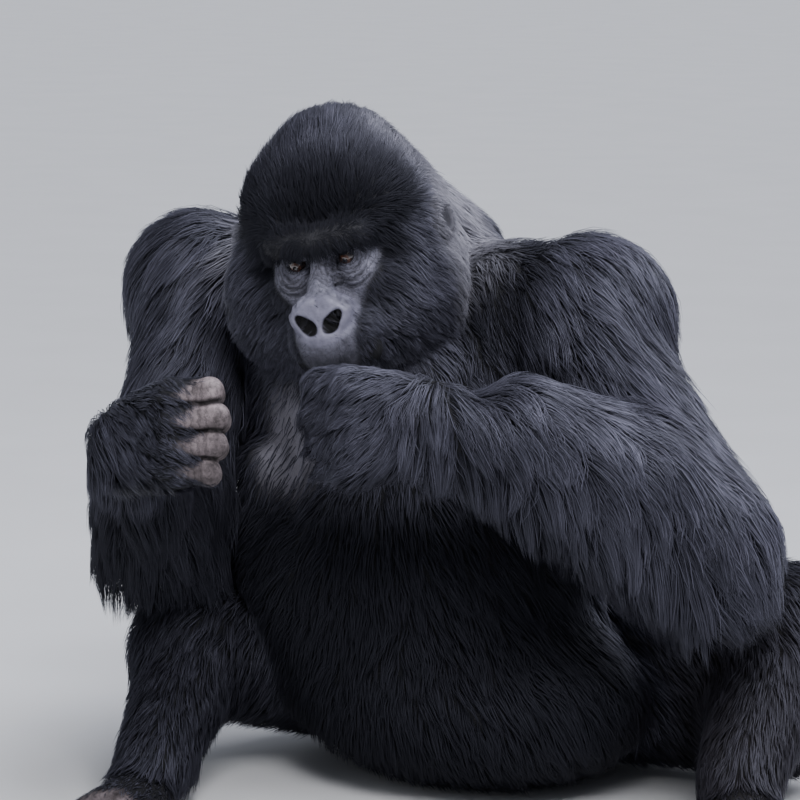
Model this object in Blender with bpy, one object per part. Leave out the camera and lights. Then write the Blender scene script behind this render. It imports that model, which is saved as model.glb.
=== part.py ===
"""A seated silverback gorilla, life size, as a set of closed solids parted at the joints.

Metres, +Z up. The origin is on the floor under the pelvis, the chest faces -Y and
the animal's left is +X. Every outline is taken at the tips of the coat.
"""

import math

import bmesh
import bpy
import numpy as np
from mathutils import Matrix, Vector
from mathutils.bvhtree import BVHTree

# ---------------------------------------------------------------- driving dimensions

GAP = 0.0005  # width of each parting cut
SIDES = {"left": 1.0, "right": -1.0}

# Joint centres of the skeleton under the coat.
HIP = {"left": (0.15, 0.0, 0.18), "right": (-0.15, 0.0, 0.17)}
KNEE = {"left": (0.535, -0.05, 0.235), "right": (-0.355, -0.30, 0.20)}
ANKLE = {"left": (0.535, -0.26, 0.075), "right": (-0.31, -0.54, 0.07)}
SHOULDER = {"left": (0.205, -0.14, 0.73), "right": (-0.400, -0.145, 0.745)}
ELBOW = {"left": (0.478, -0.29, 0.440), "right": (-0.39, -0.365, 0.425)}
WRIST = {"left": (0.135, -0.500, 0.624), "right": (-0.302, -0.645, 0.580)}

# Head: its centre lies between the ears, and it turns, nods and tilts about it.
HEAD_CENTRE = (-0.109, -0.282, 0.858)
HEAD_TURN = math.radians(8.5)
HEAD_NOD = math.radians(11.0)
HEAD_TILT = math.radians(11.5)
EYE_SPACING = 0.080
EYE_RADIUS = 0.0145
EYE_FORWARD = 0.112
EAR_PLACE = {
    "left": (-0.004, 0.167, -0.004),
    "right": (-0.020, 0.178, 0.010),
}  # forward, outward and up in the head's frame
SEAT_CLEARANCE = 0.0006  # round an eye or an ear
LIMB_CLEARANCE = 0.0008  # where a limb lies in the trunk, the neck or the head
SPINE_CLEARANCE = 0.00085  # where the head and the neck lie in the trunk

FLANK_OUTWARD = {"left": 0.17, "right": 0.20}  # from the middle of the chest to each flank

# Limb radii at the coat: start and end of each segment.
DELTOID_RADIUS = {"left": 0.142, "right": 0.136}
DELTOID_OFFSET = (0.038, 0.017, 0.008)  # outward, back and up from the shoulder joint
UPPER_ARM_RADII = {"left": (0.128, 0.112), "right": (0.126, 0.105)}
FOREARM_RADII = {"left": (0.106, 0.082), "right": (0.099, 0.054)}
FOREARM_MUSCLE = {
    "left": ((0.25, 0.030, 0.118), (0.66, 0.042, 0.100)),
    "right": ((0.20, 0.000, 0.094), (0.60, 0.000, 0.074)),
}  # share of the way to the wrist, rise and radius at each end of the muscle
THIGH_RADII = {"left": (0.155, 0.130), "right": (0.150, 0.106)}
THIGH_SAG = {"left": (0.085, 0.120), "right": (0.060, 0.010)}  # drop of the underside at hip and knee
SHANK_RADII = {"left": (0.112, 0.064), "right": (0.098, 0.060)}

# Each foot points outward by this angle.
FOOT_TURN = {"left": math.radians(22.0), "right": math.radians(2.0)}

# Hand: breadth across the four knuckles, and the lengths of the finger bones.
PALM_LENGTH = 0.122
KNUCKLE_PITCH = 0.039
FINGER_BONES = (0.058, 0.042, 0.026)
FINGER_RADIUS = 0.0205

# ---------------------------------------------------------------- fields of distance


def vec(values):
    """A numpy vector of three floats."""
    return np.array(values, dtype=float)


def unit(values):
    """The unit vector along the given one."""
    values = vec(values)
    return values / np.linalg.norm(values)


def lerp(start, end, share):
    """The point at the given share of the way."""
    return vec(start) + (vec(end) - vec(start)) * share


def ball(points, centre, radius):
    """Distance to a sphere."""
    return np.linalg.norm(points - vec(centre), axis=-1) - radius


def bone(points, start, end, start_radius, end_radius):
    """Distance to a rod with round ends whose radius tapers from start to end."""
    start = vec(start)
    along = vec(end) - start
    place = np.clip((points - start) @ along / (along @ along), 0.0, 1.0)
    away = points - start - place[..., None] * along
    radius = start_radius + (end_radius - start_radius) * place
    return np.linalg.norm(away, axis=-1) - radius


def egg(points, centre, radii, axes=None):
    """Distance, near enough, to an ellipsoid; the rows of axes are its own directions."""
    local = points - vec(centre)
    if axes is not None:
        local = local @ np.asarray(axes).T
    radii = vec(radii)
    first = np.linalg.norm(local / radii, axis=-1)
    second = np.linalg.norm(local / radii**2, axis=-1)
    return first * (first - 1.0) / np.maximum(second, 1e-9)


def blend(one, other, width):
    """Smooth union of two fields, with a fillet of about the given width."""
    share = np.clip(0.5 + 0.5 * (other - one) / width, 0.0, 1.0)
    return other * (1.0 - share) + one * share - width * share * (1.0 - share)


def blend_all(fields, width):
    """Smooth union of several fields."""
    total = fields[0]
    for field in fields[1:]:
        total = blend(total, field, width)
    return total


def carve(field, cutter, width):
    """Smooth difference: the field with the cutter taken away."""
    return -blend(-field, cutter, width)


# ---------------------------------------------------------------- head


def head_axes():
    """Forward, left and up of the head, as rows."""
    turn, nod, tilt = HEAD_TURN, HEAD_NOD, HEAD_TILT
    forward = vec((math.sin(turn) * math.cos(nod), -math.cos(turn) * math.cos(nod), -math.sin(nod)))
    level = vec((math.cos(turn), math.sin(turn), 0.0))
    upright = np.cross(forward, level)
    if upright[2] < 0.0:
        upright = -upright
    left = level * math.cos(tilt) + upright * math.sin(tilt)
    up = upright * math.cos(tilt) - level * math.sin(tilt)
    return np.array([forward, left, up])


HEAD_AXES = head_axes()


def in_head(points):
    """Points in the head's own frame: forward, left, up."""
    return (points - vec(HEAD_CENTRE)) @ HEAD_AXES.T


def from_head(local):
    """A point of the head's frame in the world."""
    return vec(HEAD_CENTRE) + vec(local) @ HEAD_AXES


def head_shape(points):
    """The skull with its crest, brow, muzzle and cheek fur."""
    local = in_head(points)
    both = local.copy()
    both[..., 1] = np.abs(both[..., 1])
    skull = egg(local, (-0.035, 0.0, 0.02), (0.150, 0.140, 0.135))
    crest = egg(local, (-0.035, 0.0, 0.100), (0.125, 0.116, 0.106))
    temple = egg(both, (0.010, 0.074, 0.050), (0.100, 0.078, 0.097))
    cheek = egg(both, (-0.005, 0.096, -0.072), (0.106, 0.086, 0.117))
    ruff = egg(local, (0.012, -0.134, -0.078), (0.088, 0.077, 0.108))
    jowl = egg(both, (0.050, 0.060, -0.120), (0.090, 0.075, 0.080))
    fur = blend_all([skull, crest, temple, cheek, ruff, jowl], 0.04)
    brow = bone(both, (0.128, 0.0, 0.036), (0.112, 0.062, 0.036), 0.024, 0.026)
    cheekbone = egg(both, (0.090, 0.050, -0.040), (0.045, 0.042, 0.050))
    bridge = bone(local, (0.118, 0.0, 0.010), (0.160, 0.0, -0.045), 0.018, 0.024)
    muzzle = egg(local, (0.130, 0.0, -0.108), (0.080, 0.068, 0.058))
    chin = egg(local, (0.118, 0.0, -0.160), (0.068, 0.056, 0.045))
    face = blend_all([brow, cheekbone, bridge, muzzle, chin], 0.022)
    whole = blend(fur, face, 0.03)
    socket = egg(both, (0.140, EYE_SPACING / 2.0, -0.003), (0.026, 0.021, 0.016))
    whole = carve(whole, socket, 0.010)
    nose = egg(local, (0.172, 0.0, -0.066), (0.026, 0.040, 0.024))
    wing = egg(both, (0.170, 0.027, -0.068), (0.026, 0.022, 0.023))
    whole = blend(whole, blend(nose, wing, 0.012), 0.014)
    nostril = egg(both, (0.198, 0.019, -0.070), (0.014, 0.011, 0.009))
    return carve(whole, nostril, 0.006)


def ear_shape(points, side):
    """A small round ear, a cupped disc set out from the side of the head."""
    local = in_head(points)
    local[..., 1] *= SIDES[side]
    out = unit((0.35, 0.85, 0.20))
    up = unit((-0.10, 0.0, 1.0))
    up = unit(up - out * (up @ out))
    across = np.cross(up, out)
    axes = np.array([across, out, up])
    disc = egg(local, EAR_PLACE[side], (0.024, 0.012, 0.034), axes)
    cup = egg(local, vec(EAR_PLACE[side]) + out * 0.011 + across * 0.003, (0.014, 0.009, 0.022), axes)
    return carve(disc, cup, 0.004)


# ---------------------------------------------------------------- neck and trunk


def neck_shape(points):
    """The thick nape, from the shoulders up to the back of the skull."""
    nape = bone(points, (-0.078, -0.06, 0.765), (-0.100, -0.20, 0.872), 0.160, 0.135)
    throat = bone(points, (-0.090, -0.20, 0.640), (-0.085, -0.25, 0.760), 0.120, 0.110)
    return blend(nape, throat, 0.06)


def trunk_shape(points):
    """Chest, shoulders, back, belly and haunches."""
    chest = egg(points, (-0.095, -0.135, 0.600), (0.255, 0.205, 0.235))
    hump = egg(points, (-0.095, 0.000, 0.665), (0.260, 0.160, 0.170))
    back = bone(points, (0.0, 0.060, 0.200), (-0.085, 0.040, 0.600), 0.190, 0.165)
    belly = egg(points, (-0.045, -0.160, 0.325), (0.315, 0.232, 0.250))
    haunch = egg(points, (0.0, 0.010, 0.165), (0.255, 0.225, 0.195))
    lap = egg(points, (0.065, -0.190, 0.150), (0.305, 0.225, 0.160))
    body = blend_all([chest, hump, back, belly, haunch, lap], 0.08)
    middle = vec((-0.095, -0.06, 0.725))
    for side in SIDES:
        yoke = bone(points, middle, lerp(middle, SHOULDER[side], 0.80), 0.105, 0.122)
        ribs = (-0.095 + SIDES[side] * FLANK_OUTWARD[side], -0.05, 0.42)
        flank = bone(points, ribs, lerp(middle, SHOULDER[side], 0.70), 0.095, 0.110)
        body = blend(blend(body, yoke, 0.06), flank, 0.06)
    return body


# ---------------------------------------------------------------- arms


def curtain(points, start, end, drops, spread, radius):
    """Long hair hanging from a limb: one lock per drop, from start to end."""
    start = vec(start)
    end = vec(end)
    locks = []
    for number, drop in enumerate(drops):
        root = start + (end - start) * (number / (len(drops) - 1.0))
        tip = root + vec((spread[0], spread[1], -1.0)) * drop
        width = radius * (1.0 - 0.07 * number)
        locks.append(bone(points, root, tip, width, width * 0.45))
    return blend_all(locks, 0.05)


FOREARM_DROPS = {
    "left": (0.180, 0.205, 0.195, 0.155, 0.100, 0.055),
    "right": (0.045, 0.110, 0.170, 0.180, 0.140, 0.070),
}
OUTER_DROPS = {
    "left": (0.100, 0.120, 0.110, 0.090, 0.060, 0.030),
    "right": (0.185, 0.200, 0.175, 0.120, 0.060, 0.010),
}
CURTAIN_SPREAD = {"left": (0.05, 0.02), "right": (0.50, 0.10)}
OUTER_SPREAD = {"left": (0.35, 0.25), "right": (-0.27, -0.34)}


def upper_arm_shape(points, side):
    """Deltoid and upper arm."""
    outward, back, up = DELTOID_OFFSET
    centre = vec(SHOULDER[side]) + vec((SIDES[side] * outward, back, up))
    deltoid = ball(points, centre, DELTOID_RADIUS[side])
    arm = bone(points, SHOULDER[side], ELBOW[side], *UPPER_ARM_RADII[side])
    return blend(deltoid, arm, 0.05)


def forearm_shape(points, side):
    """Forearm with the hair that hangs from it."""
    arm = bone(points, ELBOW[side], WRIST[side], *FOREARM_RADII[side])
    ends = []
    for share, rise, _ in FOREARM_MUSCLE[side]:
        ends.append(lerp(ELBOW[side], WRIST[side], share) + vec((0.0, 0.0, rise)))
    muscle = bone(points, *ends, *[radius for _, _, radius in FOREARM_MUSCLE[side]])
    arm = blend(arm, muscle, 0.03)
    inner = curtain(points, ELBOW[side], WRIST[side], FOREARM_DROPS[side], CURTAIN_SPREAD[side], 0.052)
    outer = curtain(points, ELBOW[side], WRIST[side], OUTER_DROPS[side], OUTER_SPREAD[side], 0.046)
    return blend(arm, blend(inner, outer, 0.05), 0.05)


# Each hand's own frame: along the palm, across from index to little finger, out of the palm.
HAND_ALONG = {"left": (-0.85, -0.50, -0.05), "right": (0.90, -0.32, 0.24)}
HAND_ACROSS = {"left": (0.02, -0.10, -0.99), "right": (0.10, -0.22, -0.97)}
KNUCKLE_CURL = {"left": math.radians(48.0), "right": math.radians(35.0)}
MIDDLE_CURL = {"left": math.radians(85.0), "right": math.radians(100.0)}
TIP_CURL = {"left": math.radians(50.0), "right": math.radians(70.0)}


def hand_axes(side):
    """Along, across and palmward directions of a hand, as rows."""
    along = unit(HAND_ALONG[side])
    across = vec(HAND_ACROSS[side])
    across = unit(across - along * (across @ along))
    palmward = np.cross(along, across) * -SIDES[side]
    if palmward[1] < 0.0:
        palmward = -palmward
    return along, across, palmward


def finger_joints(side, number):
    """Knuckle, two joints and tip of one finger; 0 is the index finger."""
    along, across, palmward = hand_axes(side)
    offset = (number - 1.5) * KNUCKLE_PITCH
    arch = -0.004 * abs(number - 1.3)
    point = vec(WRIST[side]) + along * (PALM_LENGTH + arch) + across * offset
    joints = [point]
    turn = 0.0
    for length, curl in zip(FINGER_BONES, (KNUCKLE_CURL[side], MIDDLE_CURL[side], TIP_CURL[side])):
        turn += curl
        scale = (1.0, 1.06, 1.0, 0.88)[number]
        point = point + (along * math.cos(turn) + palmward * math.sin(turn)) * length * scale
        joints.append(point)
    return joints


def finger_shape(points, side, number):
    """One curled finger."""
    joints = finger_joints(side, number)
    thickness = FINGER_RADIUS * (1.0, 1.04, 1.0, 0.90)[number]
    links = []
    for order, (start, end) in enumerate(zip(joints[:-1], joints[1:])):
        links.append(bone(points, start, end, thickness * (1.0 - 0.05 * order), thickness * (0.97 - 0.06 * order)))
    return blend_all(links, 0.008)


def thumb_shape(points, side):
    """The short thumb, laid along the index finger."""
    along, across, palmward = hand_axes(side)
    base = vec(WRIST[side]) + along * 0.030 - across * 0.038 + palmward * 0.022
    middle = base + along * 0.042 - across * 0.016 + palmward * 0.016
    tip = middle + along * 0.034 + across * 0.004 + palmward * 0.010
    return blend(bone(points, base, middle, 0.021, 0.0165), bone(points, middle, tip, 0.0165, 0.013), 0.008)


def hand_shape(points, side):
    """Back of the hand, four curled fingers and the thumb."""
    along, across, palmward = hand_axes(side)
    wrist = vec(WRIST[side])
    rays = []
    for number in range(4):
        knuckle = finger_joints(side, number)[0]
        root = wrist + across * (number - 1.5) * 0.016
        rays.append(bone(points, root, knuckle, 0.034, 0.0235))
    palm = blend_all(rays, 0.016)
    digits = [finger_shape(points, side, number) for number in range(4)]
    digits.append(thumb_shape(points, side))
    fingers = digits[0]
    for digit in digits[1:]:
        fingers = blend(fingers, digit, 0.006)
    return blend(palm, fingers, 0.012)


def arm_shape(points, side):
    """Whole arm from shoulder to knuckles."""
    arm = blend(upper_arm_shape(points, side), forearm_shape(points, side), 0.04)
    return blend(arm, hand_shape(points, side), 0.020)


# ---------------------------------------------------------------- legs


def thigh_shape(points, side):
    """Thigh, heavy at the hip, with the slack underside that lies near the floor."""
    start = lerp(HIP[side], KNEE[side], 0.22)
    thigh = bone(points, start, KNEE[side], *THIGH_RADII[side])
    sag_start, sag_end = THIGH_SAG[side]
    slack = bone(points, start - vec((0.0, 0.0, sag_start)), vec(KNEE[side]) - vec((0.0, 0.0, sag_end)), 0.105, 0.100)
    return blend(thigh, slack, 0.05)


def shank_shape(points, side):
    """Knee, calf and ankle."""
    return bone(points, KNEE[side], ANKLE[side], *SHANK_RADII[side])


def foot_axes(side):
    """Forward, outward and up of a foot, as rows."""
    turn = FOOT_TURN[side]
    forward = vec((math.sin(turn), -math.cos(turn), 0.0))
    outward = vec((math.cos(turn), math.sin(turn), 0.0)) * SIDES[side]
    return forward, outward, vec((0.0, 0.0, 1.0))


def foot_shape(points, side):
    """Long flat foot with four toes and a big toe set apart like a thumb."""
    forward, outward, up = foot_axes(side)
    ankle = vec(ANKLE[side])
    ground = ankle * vec((1.0, 1.0, 0.0))
    heel = ball(points, ground - forward * 0.040 + up * 0.036, 0.041)
    ball_of_foot = ground + forward * 0.120 + up * 0.030
    sole = bone(points, ground + up * 0.042, ball_of_foot, 0.046, 0.034)
    side_edge = bone(points, ground + outward * 0.018 + up * 0.03, ball_of_foot + outward * 0.028, 0.034, 0.028)
    parts = [heel, sole, side_edge]
    for number in range(4):
        offset = 0.050 - 0.027 * number
        root = ball_of_foot + outward * offset - up * 0.004
        reach = (0.058, 0.070, 0.074, 0.070)[number]
        tip = root + forward * reach + outward * (0.006 - 0.003 * number) - up * 0.008
        parts.append(bone(points, root, tip, 0.020, 0.0165))
    big_root = ground + forward * 0.070 - outward * 0.030 + up * 0.030
    big_tip = big_root + forward * 0.085 - outward * 0.055 - up * 0.010
    parts.append(bone(points, big_root, big_tip, 0.028, 0.021))
    return blend_all(parts, 0.012)


def leg_shape(points, side):
    """Whole leg."""
    leg = blend(thigh_shape(points, side), shank_shape(points, side), 0.05)
    return blend(leg, foot_shape(points, side), 0.03)


# ---------------------------------------------------------------- joined fields


def spine_shape(points):
    """Neck and head in one."""
    return blend(neck_shape(points), head_shape(points), 0.035)


# ---------------------------------------------------------------- meshing


def sample(shape, low, high, cell):
    """Grid values of a field, with a positive outermost layer so that the surface closes."""
    counts = [int(math.ceil((high[axis] - low[axis]) / cell)) + 1 for axis in range(3)]
    ranges = [low[axis] + cell * np.arange(counts[axis]) for axis in range(3)]
    grid = np.stack(np.meshgrid(*ranges, indexing="ij"), axis=-1)
    values = shape(grid.reshape(-1, 3)).reshape(counts)
    for axis in range(3):
        for end in (0, -1):
            layer = [slice(None)] * 3
            layer[axis] = end
            values[tuple(layer)] = np.maximum(values[tuple(layer)], cell * 0.5)
    return values, vec(low)


def touching(bits):
    """Whether the set corners of a cube, and the unset ones, each hang together along its edges."""
    for wanted in (1, 0):
        corners = [corner for corner in range(8) if (bits >> corner & 1) == wanted]
        if not corners:
            continue
        reached = {corners[0]}
        for _ in range(8):
            reached |= {corner ^ step for corner in reached for step in (1, 2, 4)} & set(corners)
        if len(reached) < len(corners):
            return False
    return True


PINCHED = np.array([not touching(bits) for bits in range(256)])


def mend_pinches(values, cell):
    """Fills the cells in which the surface would touch itself."""
    for _ in range(30):
        inside = values < 0.0
        bits = np.zeros([size - 1 for size in values.shape], dtype=int)
        views = []
        for corner in range(8):
            start = (corner & 1, corner >> 1 & 1, corner >> 2 & 1)
            view = tuple(slice(c, c + n) for c, n in zip(start, bits.shape))
            views.append(view)
            bits |= inside[view].astype(int) << corner
        pinched = PINCHED[bits]
        if not pinched.any():
            break
        for view in views:
            part = values[view]
            part[pinched & (part >= 0.0)] = -0.15 * cell


def surface_points(values, low, cell):
    """One vertex in each cell that the surface crosses, and the cells' numbers."""
    counts = [size - 1 for size in values.shape]
    total = np.zeros(counts + [3])
    crossings = np.zeros(counts)
    corners = [(i, j, k) for i in (0, 1) for j in (0, 1) for k in (0, 1)]
    for corner in corners:
        for axis in range(3):
            if corner[axis]:
                continue
            other = list(corner)
            other[axis] = 1
            one = values[tuple(slice(c, c + n) for c, n in zip(corner, counts))]
            two = values[tuple(slice(c, c + n) for c, n in zip(other, counts))]
            crossed = (one < 0.0) != (two < 0.0)
            part = np.where(crossed, one / np.where(crossed, one - two, 1.0), 0.0)
            place = np.zeros(counts + [3])
            place += vec(corner)
            place[..., axis] += part
            total += place * crossed[..., None]
            crossings += crossed
    used = crossings > 0
    numbers = np.full(counts, -1)
    numbers[used] = np.arange(used.sum())
    cells = np.stack(np.nonzero(used), axis=-1)
    points = cells + total[used] / crossings[used][:, None]
    return low + cell * points, numbers


def surface_quads(values, numbers):
    """A quad across each grid edge that the surface crosses, facing outward."""
    quads = []
    inside = values < 0.0
    for axis in range(3):
        one = np.moveaxis(inside, axis, 0)[:-1]
        two = np.moveaxis(inside, axis, 0)[1:]
        cells = np.moveaxis(numbers, axis, 0)
        for leaving in (True, False):
            crossed = (one & ~two) if leaving else (~one & two)
            a, b, c = np.nonzero(crossed[:, 1:-1, 1:-1])
            ring = [cells[a, b, c], cells[a, b + 1, c], cells[a, b + 1, c + 1], cells[a, b, c + 1]]
            if leaving == (axis == 1):
                ring = ring[::-1]
            quads.append(np.stack(ring, axis=-1))
    return np.concatenate(quads)


def mesh_of(name, shape, low, high, cell):
    """Blender object with the surface of a field."""
    values, low = sample(shape, low, high, cell)
    mend_pinches(values, cell)
    points, numbers = surface_points(values, low, cell)
    quads = surface_quads(values, numbers)
    mesh = bpy.data.meshes.new(name)
    mesh.from_pydata(points.tolist(), [], quads.tolist())
    mesh.update()
    obj = bpy.data.objects.new(name, mesh)
    bpy.context.scene.collection.objects.link(obj)
    return obj


def bake_modifiers(obj):
    """Replaces the object's mesh by what its modifiers make of it."""
    graph = bpy.context.evaluated_depsgraph_get()
    graph.update()
    made = bpy.data.meshes.new_from_object(obj.evaluated_get(graph))
    old = obj.data
    obj.modifiers.clear()
    obj.data = made
    bpy.data.meshes.remove(old)


def thin_out(obj, triangles):
    """Collapses the mesh to about the given number of triangles."""
    now = sum(len(face.vertices) - 2 for face in obj.data.polygons)
    if now <= triangles:
        return
    modifier = obj.modifiers.new("thin", "DECIMATE")
    modifier.ratio = triangles / now
    bake_modifiers(obj)


def cut_away(obj, cutter):
    """Takes the cutter's volume out of the object and removes the cutter."""
    modifier = obj.modifiers.new("cut", "BOOLEAN")
    modifier.operation = "DIFFERENCE"
    modifier.solver = "EXACT"
    modifier.object = cutter
    bake_modifiers(obj)
    bpy.data.objects.remove(cutter)


def box_object(name, centre, size, normal=(0.0, 0.0, 1.0), sideways=(1.0, 0.0, 0.0)):
    """A box of the given size whose third direction is the normal."""
    normal = Vector(normal).normalized()
    sideways = Vector(sideways)
    sideways = (sideways - normal * sideways.dot(normal)).normalized()
    third = normal.cross(sideways)
    frame = Matrix((sideways, third, normal)).transposed()
    build = bmesh.new()
    bmesh.ops.create_cube(build, size=1.0)
    for vertex in build.verts:
        scaled = Vector((vertex.co.x * size[0], vertex.co.y * size[1], vertex.co.z * size[2]))
        vertex.co = frame @ scaled + Vector(centre)
    mesh = bpy.data.meshes.new(name)
    build.to_mesh(mesh)
    build.free()
    obj = bpy.data.objects.new(name, mesh)
    bpy.context.scene.collection.objects.link(obj)
    obj.hide_render = True
    obj.display_type = "WIRE"
    return obj


def holds(build_faces, vertices, point):
    """Whether a closed piece encloses the point."""
    tree = BVHTree.FromPolygons(vertices, build_faces)
    direction = Vector((0.137, 0.211, 0.968)).normalized()
    start = Vector(point)
    hits = 0
    for _ in range(60):
        place, _, _, distance = tree.ray_cast(start, direction)
        if place is None:
            break
        hits += 1
        start = place + direction * 1e-6
    return hits % 2 == 1


def keep_piece(obj, point):
    """Keeps only the loose piece of the object that encloses the point."""
    build = bmesh.new()
    build.from_mesh(obj.data)
    build.verts.index_update()
    seen = set()
    kept = None
    for vertex in build.verts:
        if vertex.index in seen:
            continue
        stack = [vertex]
        piece = set()
        while stack:
            current = stack.pop()
            if current.index in seen:
                continue
            seen.add(current.index)
            piece.add(current)
            stack.extend(edge.other_vert(current) for edge in current.link_edges)
        order = {item: place for place, item in enumerate(piece)}
        faces = {face for item in piece for face in item.link_faces}
        rings = [[order[corner] for corner in face.verts] for face in faces]
        if len(rings) > 3 and holds(rings, [item.co.copy() for item in piece], point):
            kept = piece
            break
    if kept is not None:
        doomed = [item for item in build.verts if item not in kept]
        bmesh.ops.delete(build, geom=doomed, context="VERTS")
    build.to_mesh(obj.data)
    build.free()


# ---------------------------------------------------------------- parting cuts


def bend_normal(before, joint, after):
    """Normal of the plane that halves a bend, pointing towards the far segment."""
    return unit(unit(vec(joint) - vec(before)) + unit(vec(after) - vec(joint)))


def parting_cuts():
    """Every parting cut: centre, normal, width and height of its thin slab."""
    cuts = {}
    cuts["head"] = (from_head((-0.09, 0.0, -0.105)), unit((-0.09, -0.69, 0.72)), 0.66, 0.66)
    cuts["neck"] = (vec((-0.085, -0.12, 0.700)), unit((0.0, -0.5, 0.866)), 0.80, 0.80)
    for side in SIDES:
        elbow = bend_normal(SHOULDER[side], ELBOW[side], WRIST[side])
        cuts["elbow_" + side] = (vec(ELBOW[side]), elbow, 0.60, 0.60)
        knee = bend_normal(HIP[side], KNEE[side], ANKLE[side])
        cuts["knee_" + side] = (vec(KNEE[side]), knee, 0.64, 0.64)
        wrist = unit(unit(HAND_ALONG[side]) + unit(vec(WRIST[side]) - vec(ELBOW[side])))
        cuts["wrist_" + side] = (vec(WRIST[side]) - wrist * 0.012, wrist, 0.30, 0.30)
        ankle = unit(unit(vec(ANKLE[side]) - vec(KNEE[side])) + vec((0.0, 0.0, -1.0)))
        cuts["ankle_" + side] = (vec(ANKLE[side]) + vec((0.0, 0.0, 0.030)), ankle, 0.26, 0.26)
    return cuts


CUTS = parting_cuts()


def part_at(obj, cut_names, keep):
    """Parts the object with thin slabs and keeps the piece round the given point."""
    for name in cut_names:
        centre, normal, width, height = CUTS[name]
        slab = box_object("slab_" + name, centre, (width, height, GAP), normal)
        cut_away(obj, slab)
    keep_piece(obj, keep)


def trim_to_floor(obj):
    """Cuts the object flat at floor level."""
    lowest = min(vertex.co.z for vertex in obj.data.vertices)
    if lowest < 0.0:
        under = box_object("under_floor", (0.0, -0.2, -0.25), (3.0, 3.0, 0.5))
        cut_away(obj, under)


# ---------------------------------------------------------------- materials


def plain_material(name, colour, roughness):
    """A plain surface of one colour."""
    material = bpy.data.materials.new(name)
    material.use_nodes = True
    shader = material.node_tree.nodes["Principled BSDF"]
    shader.inputs["Base Color"].default_value = (*colour, 1.0)
    shader.inputs["Roughness"].default_value = roughness
    shader.inputs["Metallic"].default_value = 0.0
    return material


COAT_BLACK = (0.016, 0.016, 0.020)
COAT_SILVER = (0.060, 0.062, 0.072)
FACE_SKIN = (0.035, 0.036, 0.044)
EYE_BROWN = (0.045, 0.018, 0.008)


def dress(obj, colour, roughness):
    """Gives the object its own material and smooth shading."""
    obj.data.materials.clear()
    obj.data.materials.append(plain_material("mat_" + obj.name, colour, roughness))
    for face in obj.data.polygons:
        face.use_smooth = True


# ---------------------------------------------------------------- sub-parts


def body_part(name, shape, low, high, cell, triangles, cut_names, keep, colour=COAT_BLACK, seats=()):
    """One coated part: meshed, thinned, trimmed to the floor and parted from its neighbours."""
    obj = mesh_of(name, shape, low, high, cell)
    thin_out(obj, triangles)
    trim_to_floor(obj)
    part_at(obj, cut_names, keep)
    for other in seats:
        limb = other.name.startswith(("upper_arm", "thigh"))
        cut_away(obj, swollen_copy(other, LIMB_CLEARANCE if limb else SPINE_CLEARANCE))
    keep_piece(obj, keep)
    dress(obj, colour, 0.7)
    return obj


def build_head(arms):
    """Head with sockets for the eyes."""
    centre = vec(HEAD_CENTRE)
    head = mesh_of("head", spine_shape, centre - 0.30, centre + 0.27, 0.0065)
    thin_out(head, 2060)
    part_at(head, ["head"], centre)
    for side, sign in SIDES.items():
        place = from_head((EYE_FORWARD, sign * EYE_SPACING / 2.0, 0.0))
        socket = eyeball("socket_" + side, place, EYE_RADIUS + SEAT_CLEARANCE)
        socket.hide_render = True
        cut_away(head, socket)
    for arm in arms:
        cut_away(head, swollen_copy(arm, LIMB_CLEARANCE))
    keep_piece(head, centre)
    return head


def eyeball(name, place, radius):
    """A round eye."""
    build = bmesh.new()
    bmesh.ops.create_icosphere(build, subdivisions=2, radius=radius)
    bmesh.ops.translate(build, verts=build.verts, vec=Vector(place))
    mesh = bpy.data.meshes.new(name)
    build.to_mesh(mesh)
    build.free()
    obj = bpy.data.objects.new(name, mesh)
    bpy.context.scene.collection.objects.link(obj)
    return obj


def build_eye(side):
    """Eye of one side, set deep under the brow."""
    place = from_head((EYE_FORWARD, SIDES[side] * EYE_SPACING / 2.0, 0.0))
    eye = eyeball("eye_" + side, place, EYE_RADIUS)
    dress(eye, EYE_BROWN, 0.15)


def swollen_copy(obj, amount):
    """A copy of the object whose surface is moved outward by the amount."""
    mesh = obj.data.copy()
    moved = [vertex.co + vertex.normal * amount for vertex in mesh.vertices]
    for vertex, place in zip(mesh.vertices, moved):
        vertex.co = place
    copy = bpy.data.objects.new(obj.name + "_seat", mesh)
    bpy.context.scene.collection.objects.link(copy)
    copy.hide_render = True
    return copy


def build_ear(side, head):
    """Ear of one side, let into the head."""
    forward, outward, up = EAR_PLACE[side]
    place = from_head((forward, SIDES[side] * outward, up))
    ear = mesh_of("ear_" + side, lambda p: ear_shape(p, side), place - 0.05, place + 0.05, 0.0032)
    thin_out(ear, 130)
    cut_away(head, swollen_copy(ear, SEAT_CLEARANCE))
    dress(ear, FACE_SKIN, 0.6)


def build_neck(arms):
    """Neck and nape."""
    return body_part("neck", spine_shape, (-0.40, -0.50, 0.42), (0.26, 0.24, 1.12), 0.012, 900,
                     ["head", "neck"], (-0.09, -0.10, 0.80), COAT_SILVER, arms)


def build_trunk(seats):
    """Trunk, flat where it sits, with its neighbours let into it."""
    body_part("trunk", trunk_shape, (-0.52, -0.50, -0.07), (0.42, 0.34, 1.00), 0.013, 960,
              [], (-0.03, -0.05, 0.40), COAT_BLACK, seats)


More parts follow.
